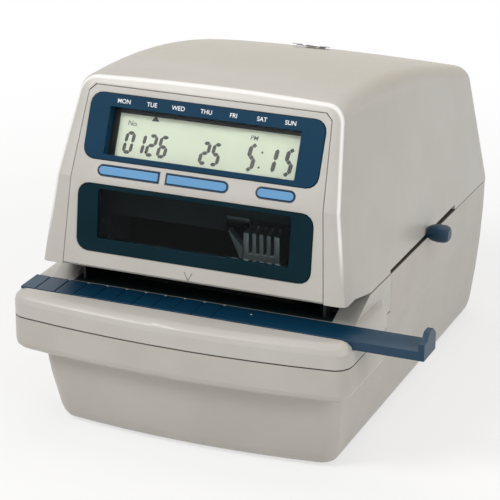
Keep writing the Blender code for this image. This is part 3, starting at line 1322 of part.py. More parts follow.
def make_bezel(root, upper, lower):
    bezel = bezel_solid("front_bezel", 0, 0, BEZEL_THICKNESS, LIP_HEIGHT, BEZEL_TOP, root,
                        "beige_plastic")
    deep = (-2 * OVERRUN, OVERRUN)
    cut(bezel, round_plate("lcd_hole", (-LCD_HALF - GAP, LCD_HALF + GAP), (LCD_LOW - GAP, LCD_HIGH + GAP),
                           deep, [LCD_ROUND] * 4, upper))
    cut(bezel, round_plate("window_hole", (-WINDOW_HALF - GAP, WINDOW_HALF + GAP),
                           (WINDOW_LOW - GAP, WINDOW_HIGH + GAP),
                           deep, [WINDOW_ROUND] * 4, lower))
    for name, (left, right, _, _) in BUTTONS.items():
        cut(bezel, round_plate("button_hole", (left - GAP, right + GAP),
                               (BUTTON_LOW - GAP, BUTTON_HIGH + GAP),
                               deep, button_radii(name, GAP), upper))
    return bezel


def make_display(upper):
    """Frame, lens, liquid-crystal panel and the board behind them, stacked inwards."""
    back = -LCD_FRAME_DEPTH
    frame = round_plate("lcd_frame", (-LCD_HALF, LCD_HALF), (LCD_LOW, LCD_HIGH), (back, LCD_PROUD),
                        [LCD_ROUND] * 4, upper, "navy_plastic")
    cut(frame, round_plate("glass_opening", (LCD_GLASS_LEFT, LCD_GLASS_RIGHT),
                           (LCD_GLASS_LOW, LCD_GLASS_HIGH),
                           (back - OVERRUN, OVERRUN), [LCD_GLASS_ROUND] * 4, upper))
    span = (LCD_GLASS_LEFT - LENS_MARGIN, LCD_GLASS_RIGHT + LENS_MARGIN)
    rise = (LCD_GLASS_LOW - LENS_MARGIN, LCD_GLASS_HIGH + LENS_MARGIN)
    lens_back = back - GAP - LENS_THICKNESS
    round_plate("lcd_lens", span, rise, (lens_back, back - GAP), [LCD_GLASS_ROUND] * 4, upper,
                "clear_lens")
    panel_back = lens_back - GAP - LCD_THICKNESS
    round_plate("lcd_panel", span, rise, (panel_back, lens_back - GAP), [LCD_GLASS_ROUND] * 4, upper,
                "display_glass")
    board_top = panel_back - GAP
    board = round_plate("display_board", (-BOARD_HALF, BOARD_HALF), (BOARD_LOW, BOARD_HIGH),
                        (board_top - BOARD_THICKNESS, board_top), [LCD_GLASS_ROUND] * 4, upper,
                        "board_green")
    middle = (BUTTON_LOW + BUTTON_HIGH) / 2
    for left, right, _, _ in BUTTONS.values():
        centre = (left + right) / 2
        join(board, box("tact_switch", (centre - TACT_HEIGHT, middle - TACT_HEIGHT / 2,
                                        board_top - BOARD_THICKNESS / 2),
                        (centre + TACT_HEIGHT, middle + TACT_HEIGHT / 2, board_top + TACT_HEIGHT), upper))
    return board


def make_buttons(upper):
    """Three push buttons, each with a flange behind the bezel, over a switch on the board."""
    middle = (BUTTON_LOW + BUTTON_HIGH) / 2
    half_rise = (BUTTON_HIGH - BUTTON_LOW) / 2 - GAP
    flange_top = -BEZEL_THICKNESS - GAP
    for name, (left, right, _, _) in BUTTONS.items():
        half_span = (right - left) / 2 - GAP
        carrier = add_empty(name + "_slide", upper, ((left + right) / 2, middle, 0))
        button = round_plate(name, (-half_span, half_span), (-half_rise, half_rise),
                             (-BUTTON_DEPTH, BUTTON_PROUD),
                             button_radii(name, -GAP), carrier, "button_blue")
        flange = round_plate("flange", (-half_span - BUTTON_FLANGE, half_span + BUTTON_FLANGE),
                             (-half_rise - BUTTON_FLANGE, half_rise + BUTTON_FLANGE),
                             (flange_top - BUTTON_FLANGE_HEIGHT, flange_top),
                             button_radii(name, BUTTON_FLANGE - GAP), carrier)
        join(button, flange)


def make_window(lower):
    frame = round_plate("window_frame", (-WINDOW_HALF, WINDOW_HALF), (WINDOW_LOW, WINDOW_HIGH),
                        (-WINDOW_DEPTH, LCD_PROUD),
                        [WINDOW_ROUND] * 4, lower, "dark_gloss")
    cut(frame, round_plate("clear_opening", (-WINDOW_CLEAR_HALF - GAP, WINDOW_CLEAR_HALF + GAP),
                           (WINDOW_CLEAR_LOW - GAP, WINDOW_CLEAR_HIGH + GAP),
                           (-2 * WINDOW_DEPTH, OVERRUN),
                           [WINDOW_CLEAR_ROUND] * 4, lower))
    round_plate("window_lens", (-WINDOW_CLEAR_HALF, WINDOW_CLEAR_HALF),
                (WINDOW_CLEAR_LOW, WINDOW_CLEAR_HIGH),
                (-WINDOW_LENS_SINK - WINDOW_LENS, -WINDOW_LENS_SINK), [WINDOW_CLEAR_ROUND] * 4, lower,
                "smoked_lens")


def make_lock(lock):
    """Barrel in the roof, the turning plug with its keyway, and the cam on the plug's tail."""
    stack = ((LOCK_FLANGE, LOCK_FLANGE_RADIUS), (GAP, LOCK_FLANGE_RADIUS), (GAP, LOCK_RADIUS),
             (-LOCK_LENGTH, LOCK_RADIUS))
    barrel = turned("lock_barrel", stack, "Z", lock, "chrome")
    smooth(cut(barrel, rod("barrel_bore", "Z", (0, 0), PLUG_RADIUS + GAP, -LOCK_LENGTH - OVERRUN, OVERRUN,
                           lock)))
    turning = add_empty("lock_axis", lock)
    end = -LOCK_LENGTH - PLUG_TAIL
    stack = ((LOCK_FLANGE, PLUG_RADIUS), (-LOCK_LENGTH, PLUG_RADIUS), (-LOCK_LENGTH, PLUG_TAIL_RADIUS),
             (end, PLUG_TAIL_RADIUS))
    plug = turned("lock_plug", stack, "Z", turning, "chrome")
    smooth(cut(plug, box("keyway", (-KEYWAY_WIDTH / 2, -KEYWAY_LENGTH / 2, LOCK_FLANGE - KEYWAY_DEPTH),
                         (KEYWAY_WIDTH / 2, KEYWAY_LENGTH / 2, LOCK_FLANGE + OVERRUN), turning)))
    top = -LOCK_LENGTH - GAP
    cam = box("lock_cam", (-CAM_WIDTH / 2, -CAM_WIDTH / 2, top - CAM_THICKNESS),
              (CAM_LENGTH, CAM_WIDTH / 2, top), turning, "sheet_steel")
    cut(cam, rod("cam_hole", "Z", (0, 0), PLUG_TAIL_RADIUS + GAP, end - OVERRUN, 0, turning))


def main():
    clear_scene()
    left = -LEDGE_LEFT
    right = left + GUIDE_LEFT_INSET + GUIDE_LENGTH
    front = -LEDGE_FRONT_REACH - LEDGE_BOW
    root = add_empty("machine", None, (-(left + right) / 2, -(front + BASE_DEPTH) / 2, 0))
    body = lower_body(root)
    hollow = body_hollow(root)
    make_base_shell(body, hollow, root)
    make_platform_cap(body, hollow, root)
    bpy.data.objects.remove(body)
    bpy.data.objects.remove(hollow)
    make_bottom_plate(root)
    make_bottom_screws(root)
    make_feet(root)
    make_paper_guide(root)
    make_throat_floor(root)
    make_platen(root)
    make_mask_plate(root)
    make_side_plates(root)
    make_cross_parts(root)
    make_rear_bracket(root)
    make_carriage(root)
    make_drive(root)
    make_ribbon_parts(root)
    make_stop(root)
    make_paper_switch(root)
    make_main_board(root)
    make_transformer(root)
    make_battery(root)
    make_power_inlet(root)
    place, slope = lock_frame_location()
    lock = add_empty("lock_seat", root, place, (-slope, 0, 0))
    make_cover_shell(root, lock)
    upper, lower = make_panels(root)
    make_bezel(root, upper, lower)
    make_display(upper)
    make_buttons(upper)
    make_window(lower)
    make_lock(lock)
    bpy.context.view_layer.update()


main()
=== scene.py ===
import json
import math

import bmesh
import bpy
from mathutils import Matrix, Vector

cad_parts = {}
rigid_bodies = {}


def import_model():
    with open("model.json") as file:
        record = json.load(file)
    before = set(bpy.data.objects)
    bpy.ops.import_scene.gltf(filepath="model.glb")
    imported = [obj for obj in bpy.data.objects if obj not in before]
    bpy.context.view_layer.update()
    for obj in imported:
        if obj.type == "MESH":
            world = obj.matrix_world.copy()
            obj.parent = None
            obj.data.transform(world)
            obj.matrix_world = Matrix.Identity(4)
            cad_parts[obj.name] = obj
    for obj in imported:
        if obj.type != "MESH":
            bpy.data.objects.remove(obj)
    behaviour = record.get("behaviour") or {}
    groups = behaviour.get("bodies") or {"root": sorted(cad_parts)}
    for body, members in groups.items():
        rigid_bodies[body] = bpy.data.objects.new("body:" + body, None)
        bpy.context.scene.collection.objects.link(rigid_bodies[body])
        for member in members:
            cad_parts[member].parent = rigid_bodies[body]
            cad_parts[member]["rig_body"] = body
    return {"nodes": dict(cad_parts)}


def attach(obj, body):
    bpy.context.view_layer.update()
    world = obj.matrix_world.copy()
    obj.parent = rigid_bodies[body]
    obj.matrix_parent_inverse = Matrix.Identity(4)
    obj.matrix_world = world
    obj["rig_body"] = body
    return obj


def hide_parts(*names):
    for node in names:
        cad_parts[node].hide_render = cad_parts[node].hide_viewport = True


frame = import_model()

MM = 0.001

# Where the machine's own middle plane, pedestal front and table are in the frame
HOME = Vector((-0.01505, -0.1012, 0.0))

# The bent front: height and depth of the bend, and how far both panels lean back
BEND_Y = 0.0033
BEND_Z = 0.1307
UPPER_LEAN = 23.4
LOWER_LEAN = 7.2

# The roof: where it starts and how long it is, its height in front and how far it drops
ROOF_FRONT = 0.0266
ROOF_LENGTH = 0.1767
ROOF_TOP = 0.1788
ROOF_DROP = 0.0296

# Height of the paper guide's face, and how far flat print lies from what carries it
GUIDE_TOP = 0.0738
PRINT_LIFT = 0.00001
PRINT_THICKNESS = 0.00003
GLASS_INK = 0.00002


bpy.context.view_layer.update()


# Shader values and finishes

class Value:
    """A shader value that the signs of arithmetic work on."""

    def __init__(self, finish, socket):
        self.finish = finish
        self.socket = socket

    def sum(self, operation, first, second=None):
        settings = {"operation": operation}
        sockets = {0: first} if second is None else {0: first, 1: second}
        return self.finish.node("ShaderNodeMath", settings, sockets)

    def __add__(self, other):
        return self.sum("ADD", self, other)

    def __sub__(self, other):
        return self.sum("SUBTRACT", self, other)

    def __rsub__(self, other):
        return self.sum("SUBTRACT", other, self)

    def __mul__(self, other):
        return self.sum("MULTIPLY", self, other)

    __radd__ = __add__
    __rmul__ = __mul__

    def __abs__(self):
        return self.sum("ABSOLUTE", self)

    def above(self, other):
        return self.sum("GREATER_THAN", self, other)

    def below(self, other):
        return self.sum("LESS_THAN", self, other)

    def least(self, other):
        return self.sum("MINIMUM", self, other)

    def repeat(self, pitch):
        """Distance to the middle of the nearest of the lines a pitch apart."""
        return self.sum("PINGPONG", self, pitch)

    def ease(self, low, high):
        """0 at low and under, 1 at high and over, and a soft step between."""
        sockets = {"Value": self, "From Min": low, "From Max": high}
        return self.finish.node("ShaderNodeMapRange", {"interpolation_type": "SMOOTHSTEP"}, sockets)


class Finish:
    """A material, whose nodes are added one call at a time."""

    def __init__(self, name, colour, roughness, **plain):
        self.material = bpy.data.materials.new(name)
        self.material.use_nodes = True
        self.tree = self.material.node_tree
        self.shader = self.tree.nodes["Principled BSDF"]
        self.set("Base Color", (*colour, 1.0))
        self.set("Roughness", roughness)
        for socket, value in plain.items():
            self.set(socket.replace("_", " "), value)
        self.place = self.node("ShaderNodeTexCoord", out="Object")

    def node(self, kind, settings=None, sockets=None, out=0):
        """Adds one node: its settings first, then its values and links; gives one output."""
        made = self.tree.nodes.new(kind)
        for name, value in (settings or {}).items():
            if name == "stops":
                ramp = made.color_ramp.elements
                while len(ramp) < len(value):
                    ramp.new(0.5)
                for stop, (position, colour) in zip(ramp, value):
                    stop.position = position
                    stop.color = (*colour, 1.0)
            else:
                setattr(made, name, value)
        for name, value in (sockets or {}).items():
            self.feed(made.inputs[name], value)
        return Value(self, made.outputs[out])

    def feed(self, socket, value):
        if isinstance(value, Value):
            self.tree.links.new(value.socket, socket)
        else:
            socket.default_value = value

    def set(self, name, value):
        self.feed(self.shader.inputs[name], value)

    def noise(self, per_mm, detail=2.0, rough=0.5, place=None):
        settings = {"noise_dimensions": "3D"}
        sockets = {"Vector": place or self.place, "Scale": per_mm / MM, "Detail": detail,
                   "Roughness": rough}
        return self.node("ShaderNodeTexNoise", settings, sockets)

    def cells(self, per_mm):
        sockets = {"Vector": self.place, "Scale": per_mm / MM}
        return self.node("ShaderNodeTexVoronoi", {"feature": "F1"}, sockets, out="Distance")

    def stretched(self, x, y, z):
        """The piece's own place with each direction scaled."""
        sockets = {0: self.place, 1: (x, y, z)}
        return self.node("ShaderNodeVectorMath", {"operation": "MULTIPLY"}, sockets)

    def along(self, letter):
        return self.node("ShaderNodeSeparateXYZ", {}, {0: self.place}, out=letter)

    def tint(self, mask, first, second):
        """Goes from the first colour to the second as the mask goes from 0 to 1."""
        sockets = {"Factor": mask, 6: first, 7: second}
        return self.node("ShaderNodeMix", {"data_type": "RGBA"}, sockets, out=2)

    def paint(self, mask, first, second):
        self.set("Base Color", self.tint(mask, (*first, 1.0), (*second, 1.0)))

    def raise_by(self, height, distance, strength=1.0, radius=0.0):
        """Bump of the given real height; a radius also eases the edges' look."""
        sockets = {"Strength": strength, "Distance": distance, "Height": height}
        if radius:
            sockets["Normal"] = self.node("ShaderNodeBevel", {"samples": 4}, {"Radius": radius})
        self.set("Normal", self.node("ShaderNodeBump", {}, sockets))


def moulded(name, colour, shade, roughness, grain, edge=0.0004, **plain):
    """Moulded plastic: spark-eroded grain, faint flow marks and an uneven sheen."""
    finish = Finish(name, colour, roughness, **plain)
    flow = finish.noise(0.03, 3.0)
    finish.paint(flow.ease(0.3, 0.7), colour, shade)
    finish.set("Roughness", finish.noise(0.2, 3.0) * 0.10 + (roughness - 0.05))
    finish.raise_by(finish.cells(2.2) * 0.6 + finish.noise(3.0) * 0.4, grain, 0.5, edge)
    return finish.material


def line_shadow(finish, low_y, low_z, high_y, high_z, half_width):
    """A soft dark line where the side of the body passes a sloping seam."""
    y = finish.along("Y")
    z = finish.along("Z")
    slope = (high_z - low_z) / (high_y - low_y)
    off_line = abs(z - (y * slope + (low_z - slope * low_y)))
    span = y.above(low_y) * y.below(high_y)
    return (1 - off_line.ease(half_width * 0.5, half_width)) * span


def front_edge_highlight(finish):
    """A painted highlight: a pale line along the edge where the bent front meets the roof and the
    sides.
    """
    y = finish.along("Y") - (HOME.y + BEND_Y)
    z = finish.along("Z") - BEND_Z
    depths = []
    for lean in (UPPER_LEAN, LOWER_LEAN):
        turn = math.radians(lean)
        depths.append(y * math.cos(turn) - z * math.sin(turn))
    depth = depths[0].least(depths[1])
    return depth.ease(0.0002, 0.0006) * (1 - depth.ease(0.0010, 0.0018)) * z.ease(-0.036, -0.012)


def roof_reflection_mask(finish):
    """Where a warm reflection is painted on the roof, darker and yellower than the beige: near its
    surface, more so away from its front edge.
    """
    share = (finish.along("Y") - (HOME.y + ROOF_FRONT)) * (1.0 / ROOF_LENGTH)
    depth = finish.along("Z") - (ROOF_TOP - share * share * ROOF_DROP)
    return depth.ease(-0.011, -0.003) * share.ease(-0.05, 0.4)


def throat_shade_mask(finish):
    """The part of the platform behind the guide, under the cover, painted dark as the shade that
    falls there.
    """
    y = finish.along("Y") - HOME.y
    across = abs(finish.along("X") - HOME.x)
    z = finish.along("Z")
    level = z.above(0.0730) * z.below(0.0739)
    return y.ease(0.0088, 0.0100) * level * across.below(0.0688)


def beige(name, colour, shade, seams, edge=False, roof=False, throat=False):
    """Moulded beige with the painted shadow of its seams and a little dust in the grain; where
    asked, also a painted highlight on the front edge, a painted warm reflection on the roof and
    painted shade in the mouth.
    """
    finish = Finish(name, colour, 0.36)
    flow = finish.noise(0.03, 3.0)
    specks = finish.noise(1.1, 4.0, 0.7).ease(0.62, 0.74)
    body = finish.tint(flow.ease(0.3, 0.7), (*colour, 1.0), (*shade, 1.0))
    dust_and_painted_light = finish.tint(specks * 0.35, body, tuple(c * 0.72 for c in shade) + (1.0,))
    for low_y, low_z, high_y, high_z, half_width in seams:
        line = line_shadow(finish, HOME.y + low_y, low_z, HOME.y + high_y, high_z, half_width)
        dust_and_painted_light = finish.tint(line * 0.9, dust_and_painted_light, SEAM_SHADOW)
    # Painted warm reflection on the roof.
    if roof:
        dust_and_painted_light = finish.tint(roof_reflection_mask(finish), dust_and_painted_light, PAINTED_ROOF_REFLECTION)
    # Painted highlight along the cover's front edge.
    if edge:
        dust_and_painted_light = finish.tint(front_edge_highlight(finish) * 0.85, dust_and_painted_light, PAINTED_EDGE_HIGHLIGHT)
    # Painted shade on the platform inside the mouth.
    if throat:
        dust_and_painted_light = finish.tint(throat_shade_mask(finish), dust_and_painted_light, PAINTED_THROAT_SHADE)
    finish.set("Base Color", dust_and_painted_light)
    finish.set("Roughness", finish.noise(0.2, 3.0) * 0.10 + 0.31)
    finish.raise_by(finish.cells(1.6) * 0.6 + finish.noise(2.4, 3.0) * 0.4, 0.00007, 0.6, 0.0004)
    return finish.material


def drawn_metal(name, colour, shade, roughness, stretch, edge=0.0002, **plain):
    """Sheet or bar metal with fine drawn lines along one direction."""
    finish = Finish(name, colour, roughness, Metallic=1.0, **plain)
    lines = finish.noise(4.0, 3.0, place=finish.stretched(*stretch))
    finish.paint(lines.ease(0.3, 0.7), colour, shade)
    finish.set("Roughness", lines * 0.25 + (roughness - 0.1))
    finish.raise_by(lines, 0.00001, 0.4, edge)
    return finish.material


def spangled_zinc(name):
    finish = Finish(name, (0.56, 0.57, 0.58), 0.38, Metallic=1.0)
    spangle = finish.cells(0.25)
    finish.paint(spangle.ease(0.1, 0.9), (0.62, 0.63, 0.64), (0.47, 0.48, 0.50))
    finish.set("Roughness", spangle * 0.2 + 0.28)
    finish.raise_by(finish.noise(1.5), 0.00001, 0.4, 0.0002)
    return finish.material


def clear_plastic(name, colour, roughness, **plain):
    finish = Finish(name, colour, roughness, Transmission_Weight=1.0, IOR=1.15, **plain)
    haze = finish.noise(0.05, 2.0)
    finish.set("Roughness", haze.ease(0.5, 0.9) * 0.02 + roughness)
    return finish.material


def display_glass(name):
    """Reflective liquid-crystal panel: grey-green, faintly clouded."""
    finish = Finish(name, (0.56, 0.61, 0.47), 0.35)
    cloud = finish.noise(0.03, 2.0)
    finish.paint(cloud.ease(0.3, 0.7), (0.335, 0.372, 0.285), (0.315, 0.348, 0.268))
    finish.raise_by(finish.noise(4.0), 0.000004, 0.4)
    return finish.material


def turned_brass(name):
    finish = Finish(name, (0.65, 0.48, 0.2), 0.35, Metallic=1.0)
    pores = finish.cells(3.0)
    finish.paint(pores.ease(0.1, 0.5), (0.5, 0.36, 0.15), (0.68, 0.5, 0.22))
    finish.raise_by(pores, 0.00002, 0.5, 0.0002)
    return finish.material


def rubber(name, colour, grain):
    finish = Finish(name, colour, 0.75)
    dust = finish.noise(0.4, 4.0)
    finish.paint(dust.ease(0.45, 0.75), colour, tuple(c * 1.8 + 0.01 for c in colour))
    finish.raise_by(finish.noise(3.0, 3.0), grain, 0.7, 0.0004)
    return finish.material


def inked_weave(name):
    finish = Finish(name, (0.015, 0.012, 0.025), 0.7, Sheen_Weight=0.2)
    across = finish.along("X").repeat(0.0002)
    down = finish.along("Z").repeat(0.0002)
    threads = (across + down) * (1.0 / 0.0004)
    finish.paint(threads, (0.006, 0.005, 0.012), (0.03, 0.026, 0.05))
    finish.raise_by(threads, 0.00006, 0.8)
    return finish.material


def solder_mask(name):
    finish = Finish(name, (0.03, 0.16, 0.07), 0.3, Coat_Weight=0.5)
    tracks = finish.along("X").repeat(0.0025).above(0.0016)
    gaps = finish.noise(0.12, 1.0).above(0.52)
    finish.paint(tracks * gaps, (0.02, 0.13, 0.05), (0.06, 0.25, 0.10))
    finish.raise_by(tracks * gaps, 0.00004, 0.6, 0.0002)
    return finish.material


def taped_coil(name):
    finish = Finish(name, (0.42, 0.22, 0.06), 0.4)
    wraps = finish.along("Z").repeat(0.004)
    finish.paint(wraps.ease(0.0, 0.004), (0.3, 0.15, 0.04), (0.5, 0.28, 0.08))
    finish.raise_by(wraps * 250.0 + finish.noise(0.5) * 0.3, 0.0001, 0.6, 0.0005)
    return finish.material


SEAM_SHADOW = (0.075, 0.062, 0.050, 1.0)
# Colour of the painted warm reflection on the roof
PAINTED_ROOF_REFLECTION = (0.452, 0.415, 0.342, 1.0)
# Pale colour of the painted highlight along the cover's front edge
PAINTED_EDGE_HIGHLIGHT = (0.88, 0.87, 0.85, 1.0)
# Colour of the painted shade on the platform inside the mouth
PAINTED_THROAT_SHADE = (0.012, 0.022, 0.024, 1.0)
BEIGE = (0.500, 0.482, 0.445)
BEIGE_SHADE = (0.478, 0.458, 0.418)
# The base's beige: a darker, warmer copy of the cover's beige, as painted shade and warm light
# thrown up from the table
BEIGE_BASE = (0.475, 0.448, 0.405)
BEIGE_BASE_SHADE = (0.45, 0.42, 0.375)
NAVY = (0.003, 0.036, 0.076)
NAVY_SHADE = (0.002, 0.031, 0.066)

# Seams: the y and z of both ends in the machine's own frame, and half the shadow's width
PARTING = (0.031, 0.08195, 0.240, 0.0797, 0.0005)
CHEEK_SEAM = (0.009, 0.0866, 0.031, 0.0820, 0.0005)
LEDGE_SEAM = (-0.040, 0.06095, 0.062, 0.06095, 0.0005)

MATERIALS = {
    "beige_plastic": beige("beige_moulded", BEIGE, BEIGE_SHADE, []),
    "beige_cover": beige("beige_cover", BEIGE, BEIGE_SHADE, [PARTING, CHEEK_SEAM],
                         edge=True, roof=True),
    "beige_platform": beige("beige_platform", BEIGE, BEIGE_SHADE, [PARTING, CHEEK_SEAM, LEDGE_SEAM],
                            throat=True),
    "beige_base": beige("beige_base", BEIGE_BASE, BEIGE_BASE_SHADE, [PARTING, LEDGE_SEAM]),
    "dark_sheet": drawn_metal("dark_sheet", (0.06, 0.06, 0.065), (0.04, 0.04, 0.044), 0.45,
                              (0.1, 1.0, 1.0)),
    "cast_alloy": drawn_metal("cast_alloy", (0.66, 0.66, 0.66), (0.5, 0.5, 0.5), 0.5,
                              (1.0, 1.0, 0.3)),
    "navy_guide": moulded("navy_guide", NAVY, NAVY_SHADE, 0.38, 0.00003, 0.0003,
                          Specular_IOR_Level=0.4),
    "navy_plastic": moulded("navy_moulded", NAVY, NAVY_SHADE, 0.34, 0.00003, 0.0003,
                            Specular_IOR_Level=0.10),
    "dark_gloss": moulded("window_frame_gloss", (0.004, 0.021, 0.030), (0.003, 0.017, 0.025),
                          0.16, 0.000004, 0.0003, Specular_IOR_Level=0.05),
    "clear_lens": clear_plastic("clear_lens", (0.97, 0.98, 0.97), 0.02),
    "smoked_lens": clear_plastic("smoked_lens", (0.30, 0.36, 0.37), 0.02),
    "display_glass": display_glass("display_glass"),
    "button_blue": moulded("button_blue", (0.098, 0.285, 0.52), (0.088, 0.265, 0.49),
                           0.36, 0.00002, 0.0003),
    "sheet_steel": spangled_zinc("zinc_sheet"),
    "dark_steel": drawn_metal("dark_drawn_steel", (0.22, 0.22, 0.23), (0.15, 0.15, 0.16),
                              0.4, (0.1, 1.0, 1.0)),
    "chrome": drawn_metal("bright_plated", (0.75, 0.75, 0.76), (0.68, 0.68, 0.70),
                          0.18, (1.0, 0.05, 1.0)),
    "brass": turned_brass("sintered_brass"),
    "black_plastic": moulded("black_moulded", (0.02, 0.02, 0.022), (0.015, 0.015, 0.017),
                             0.45, 0.00004, 0.0003),
    "grey_plastic": moulded("grey_moulded", (0.22, 0.22, 0.23), (0.19, 0.19, 0.20),
                            0.45, 0.00004, 0.0003),
    "rubber": rubber("foot_rubber", (0.03, 0.03, 0.03), 0.00008),
    "ribbon_cloth": inked_weave("inked_ribbon"),
    "board_green": solder_mask("board_green"),
    "coil_amber": taped_coil("coil_tape"),
    "battery_wrap": moulded("battery_sleeve", (0.05, 0.2, 0.3), (0.04, 0.17, 0.27),
                            0.25, 0.00002, 0.0003),
}


# Dressing the pieces of the machine

def eased_copy(name, edge, steps, smooth):
    """A copy of a piece with its sharp edges broken and its curved faces smooth."""
    source = frame["nodes"][name]
    form = bmesh.new()
    form.from_mesh(source.data)
    bmesh.ops.remove_doubles(form, verts=form.verts, dist=0.000002)
    bmesh.ops.dissolve_limit(form, angle_limit=math.radians(0.4), verts=form.verts,
                             edges=form.edges)
    for face in form.faces:
        face.smooth = True
    mesh = bpy.data.meshes.new(name + "_eased")
    form.to_mesh(mesh)
    form.free()
    piece = bpy.data.objects.new(name + "_dressed", mesh)
    bpy.context.scene.collection.objects.link(piece)
    if edge:
        bevel = piece.modifiers.new("eased_edges", "BEVEL")
        bevel.width = edge
        bevel.segments = steps
        bevel.limit_method = "ANGLE"
        bevel.angle_limit = math.radians(smooth)
        bevel.harden_normals = True
    bpy.context.view_layer.objects.active = piece
    piece.select_set(True)
    bpy.ops.object.shade_smooth_by_angle(angle=math.radians(smooth))
    piece.select_set(False)
    return piece


def dress(name, edge=0.0003, steps=2, smooth=30.0):
    """Puts an eased copy with its finish in the place of a piece."""
    piece = eased_copy(name, edge, steps, smooth)
    slot = SLOTS[name]
    piece.data.materials.clear()
    piece.data.materials.append(MATERIALS[SPECIAL.get(name, slot)])
    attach(piece, frame["nodes"][name]["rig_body"])
    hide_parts(name)
    return piece


SPECIAL = {
    "base_shell": "beige_base", "cover_shell": "beige_cover", "platform_cap": "beige_platform",
    "paper_guide": "navy_guide", "stop_lever": "navy_guide",
    "mask_plate": "dark_sheet", "motor_plate": "dark_sheet", "throat_floor": "dark_sheet",
    "side_plate_left": "dark_sheet", "side_plate_right": "dark_sheet",
    "carriage_rail": "dark_sheet", "print_head": "cast_alloy", "ribbon_blade": "cast_alloy",
}
SLOTS = {}
for name, node in frame["nodes"].items():
    for used in node.data.materials:
        SLOTS[name] = used.name.split(".")[0]


# Places on the two panels of the bent front

def panel_place(lean, across, up, out):
    """A point on a panel: across from the middle, up from the bend, out of the surface."""
    turn = math.radians(lean)
    back = up * math.sin(turn) - out * math.cos(turn)
    rise = up * math.cos(turn) + out * math.sin(turn)
    return HOME + Vector((across, BEND_Y + back, BEND_Z + rise))


def panel_matrix(lean, across, up, out):
    """Lays a flat drawing, X across and Y up, on a panel."""
    turn = Matrix.Rotation(math.radians(90.0 - lean), 4, "X")
    return Matrix.Translation(panel_place(lean, across, up, out)) @ turn


def front_of(name, lean):
    """How far a piece stands out of a panel's surface."""
    outward = panel_place(lean, 0.0, 0.0, 1.0) - panel_place(lean, 0.0, 0.0, 0.0)
    bend = panel_place(lean, 0.0, 0.0, 0.0)
    return max((corner.co - bend).dot(outward) for corner in frame["nodes"][name].data.vertices)


def flat_finish(name, colour, shade, roughness):
    """Printed ink, also used for painted shade and shadow: slightly uneven cover."""
    finish = Finish(name, colour, roughness)
    finish.paint(finish.noise(2.0, 2.0).ease(0.35, 0.65), colour, shade)
    finish.raise_by(finish.noise(6.0), 0.000004, 0.4)
    return finish.material


WHITE_INK = flat_finish("white_ink", (0.86, 0.88, 0.88), (0.80, 0.82, 0.83), 0.5)
BLACK_INK_AND_SHADE = flat_finish("segment_black", (0.008, 0.010, 0.009), (0.012, 0.015, 0.013), 0.5)
# Painted shadow in the gaps around the buttons
RIM_PAINTED_SHADOW = flat_finish("rim_shadow", (0.025, 0.045, 0.075), (0.02, 0.038, 0.065), 0.6)
MARK_INK = flat_finish("mark_grey", (0.24, 0.23, 0.21), (0.27, 0.26, 0.23), 0.5)


def lettering(name, words, height, weight, matrix, finish, body):
    """Flat printed words, as a thin skin standing on the surface."""
    curve = bpy.data.curves.new(name, "FONT")
    curve.body = words
    curve.align_x = "CENTER"
    curve.align_y = "CENTER"
    curve.size = height
    curve.offset = weight
    curve.extrude = 0.00001
    curve.materials.append(finish)
    piece = bpy.data.objects.new(name, curve)
    bpy.context.scene.collection.objects.link(piece)
    piece.matrix_world = matrix
    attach(piece, body)
    return piece


def lay(name, form, matrix, finish, body):
    """Makes a piece of a form and lays it by a matrix on its body."""
    mesh = bpy.data.meshes.new(name)
    form.to_mesh(mesh)
    form.free()
    mesh.materials.append(finish)
    piece = bpy.data.objects.new(name, mesh)
    bpy.context.scene.collection.objects.link(piece)
    piece.matrix_world = matrix
    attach(piece, body)
    return piece


def flat_shape(name, outlines, thickness, matrix, finish, body):
    """Thin plates with the given outlines, X across and Y up, laid by a matrix."""
    form = bmesh.new()
    for outline in outlines:
        base = form.faces.new([form.verts.new((x, y, 0.0)) for x, y in outline])
        grown = bmesh.ops.extrude_face_region(form, geom=[base])
        moved = [g for g in grown["geom"] if isinstance(g, bmesh.types.BMVert)]
        bmesh.ops.translate(form, verts=moved, vec=(0.0, 0.0, thickness))
    bmesh.ops.recalc_face_normals(form, faces=form.faces)
    return lay(name, form, matrix, finish, body)


# What the liquid-crystal display shows

SEGMENTS = {
    "0": "abcdef", "1": "bc", "2": "abged", "5": "afgcd", "6": "afgedc",
}
SLANT = 0.13


def digit_outlines(figure, left, low, width, height, stroke):
    """The lit bars of a slanted seven-bar figure."""
    gap = stroke * 0.04
    half = stroke / 2
    right = left + width
    middle = low + height / 2
    top = low + height

    def level(y):
        return [(left + gap + half, y), (left + gap + stroke, y + half),
                (right - gap - stroke, y + half), (right - gap - half, y),
                (right - gap - stroke, y - half), (left + gap + stroke, y - half)]

    def upright(x, start, end):
        return [(x, start + gap + half), (x + half, start + gap + stroke),
                (x + half, end - gap - stroke), (x, end - gap - half),
                (x - half, end - gap - stroke), (x - half, start + gap + stroke)]

    bars = {
        "a": level(top - half), "g": level(middle), "d": level(low + half),
        "f": upright(left + half, middle - half, top),
        "b": upright(right - half, middle - half, top),
        "e": upright(left + half, low, middle + half),
        "c": upright(right - half, low, middle + half),
    }
    return [[(x + (y - low) * SLANT, y) for x, y in bars[bar]] for bar in SEGMENTS[figure]]


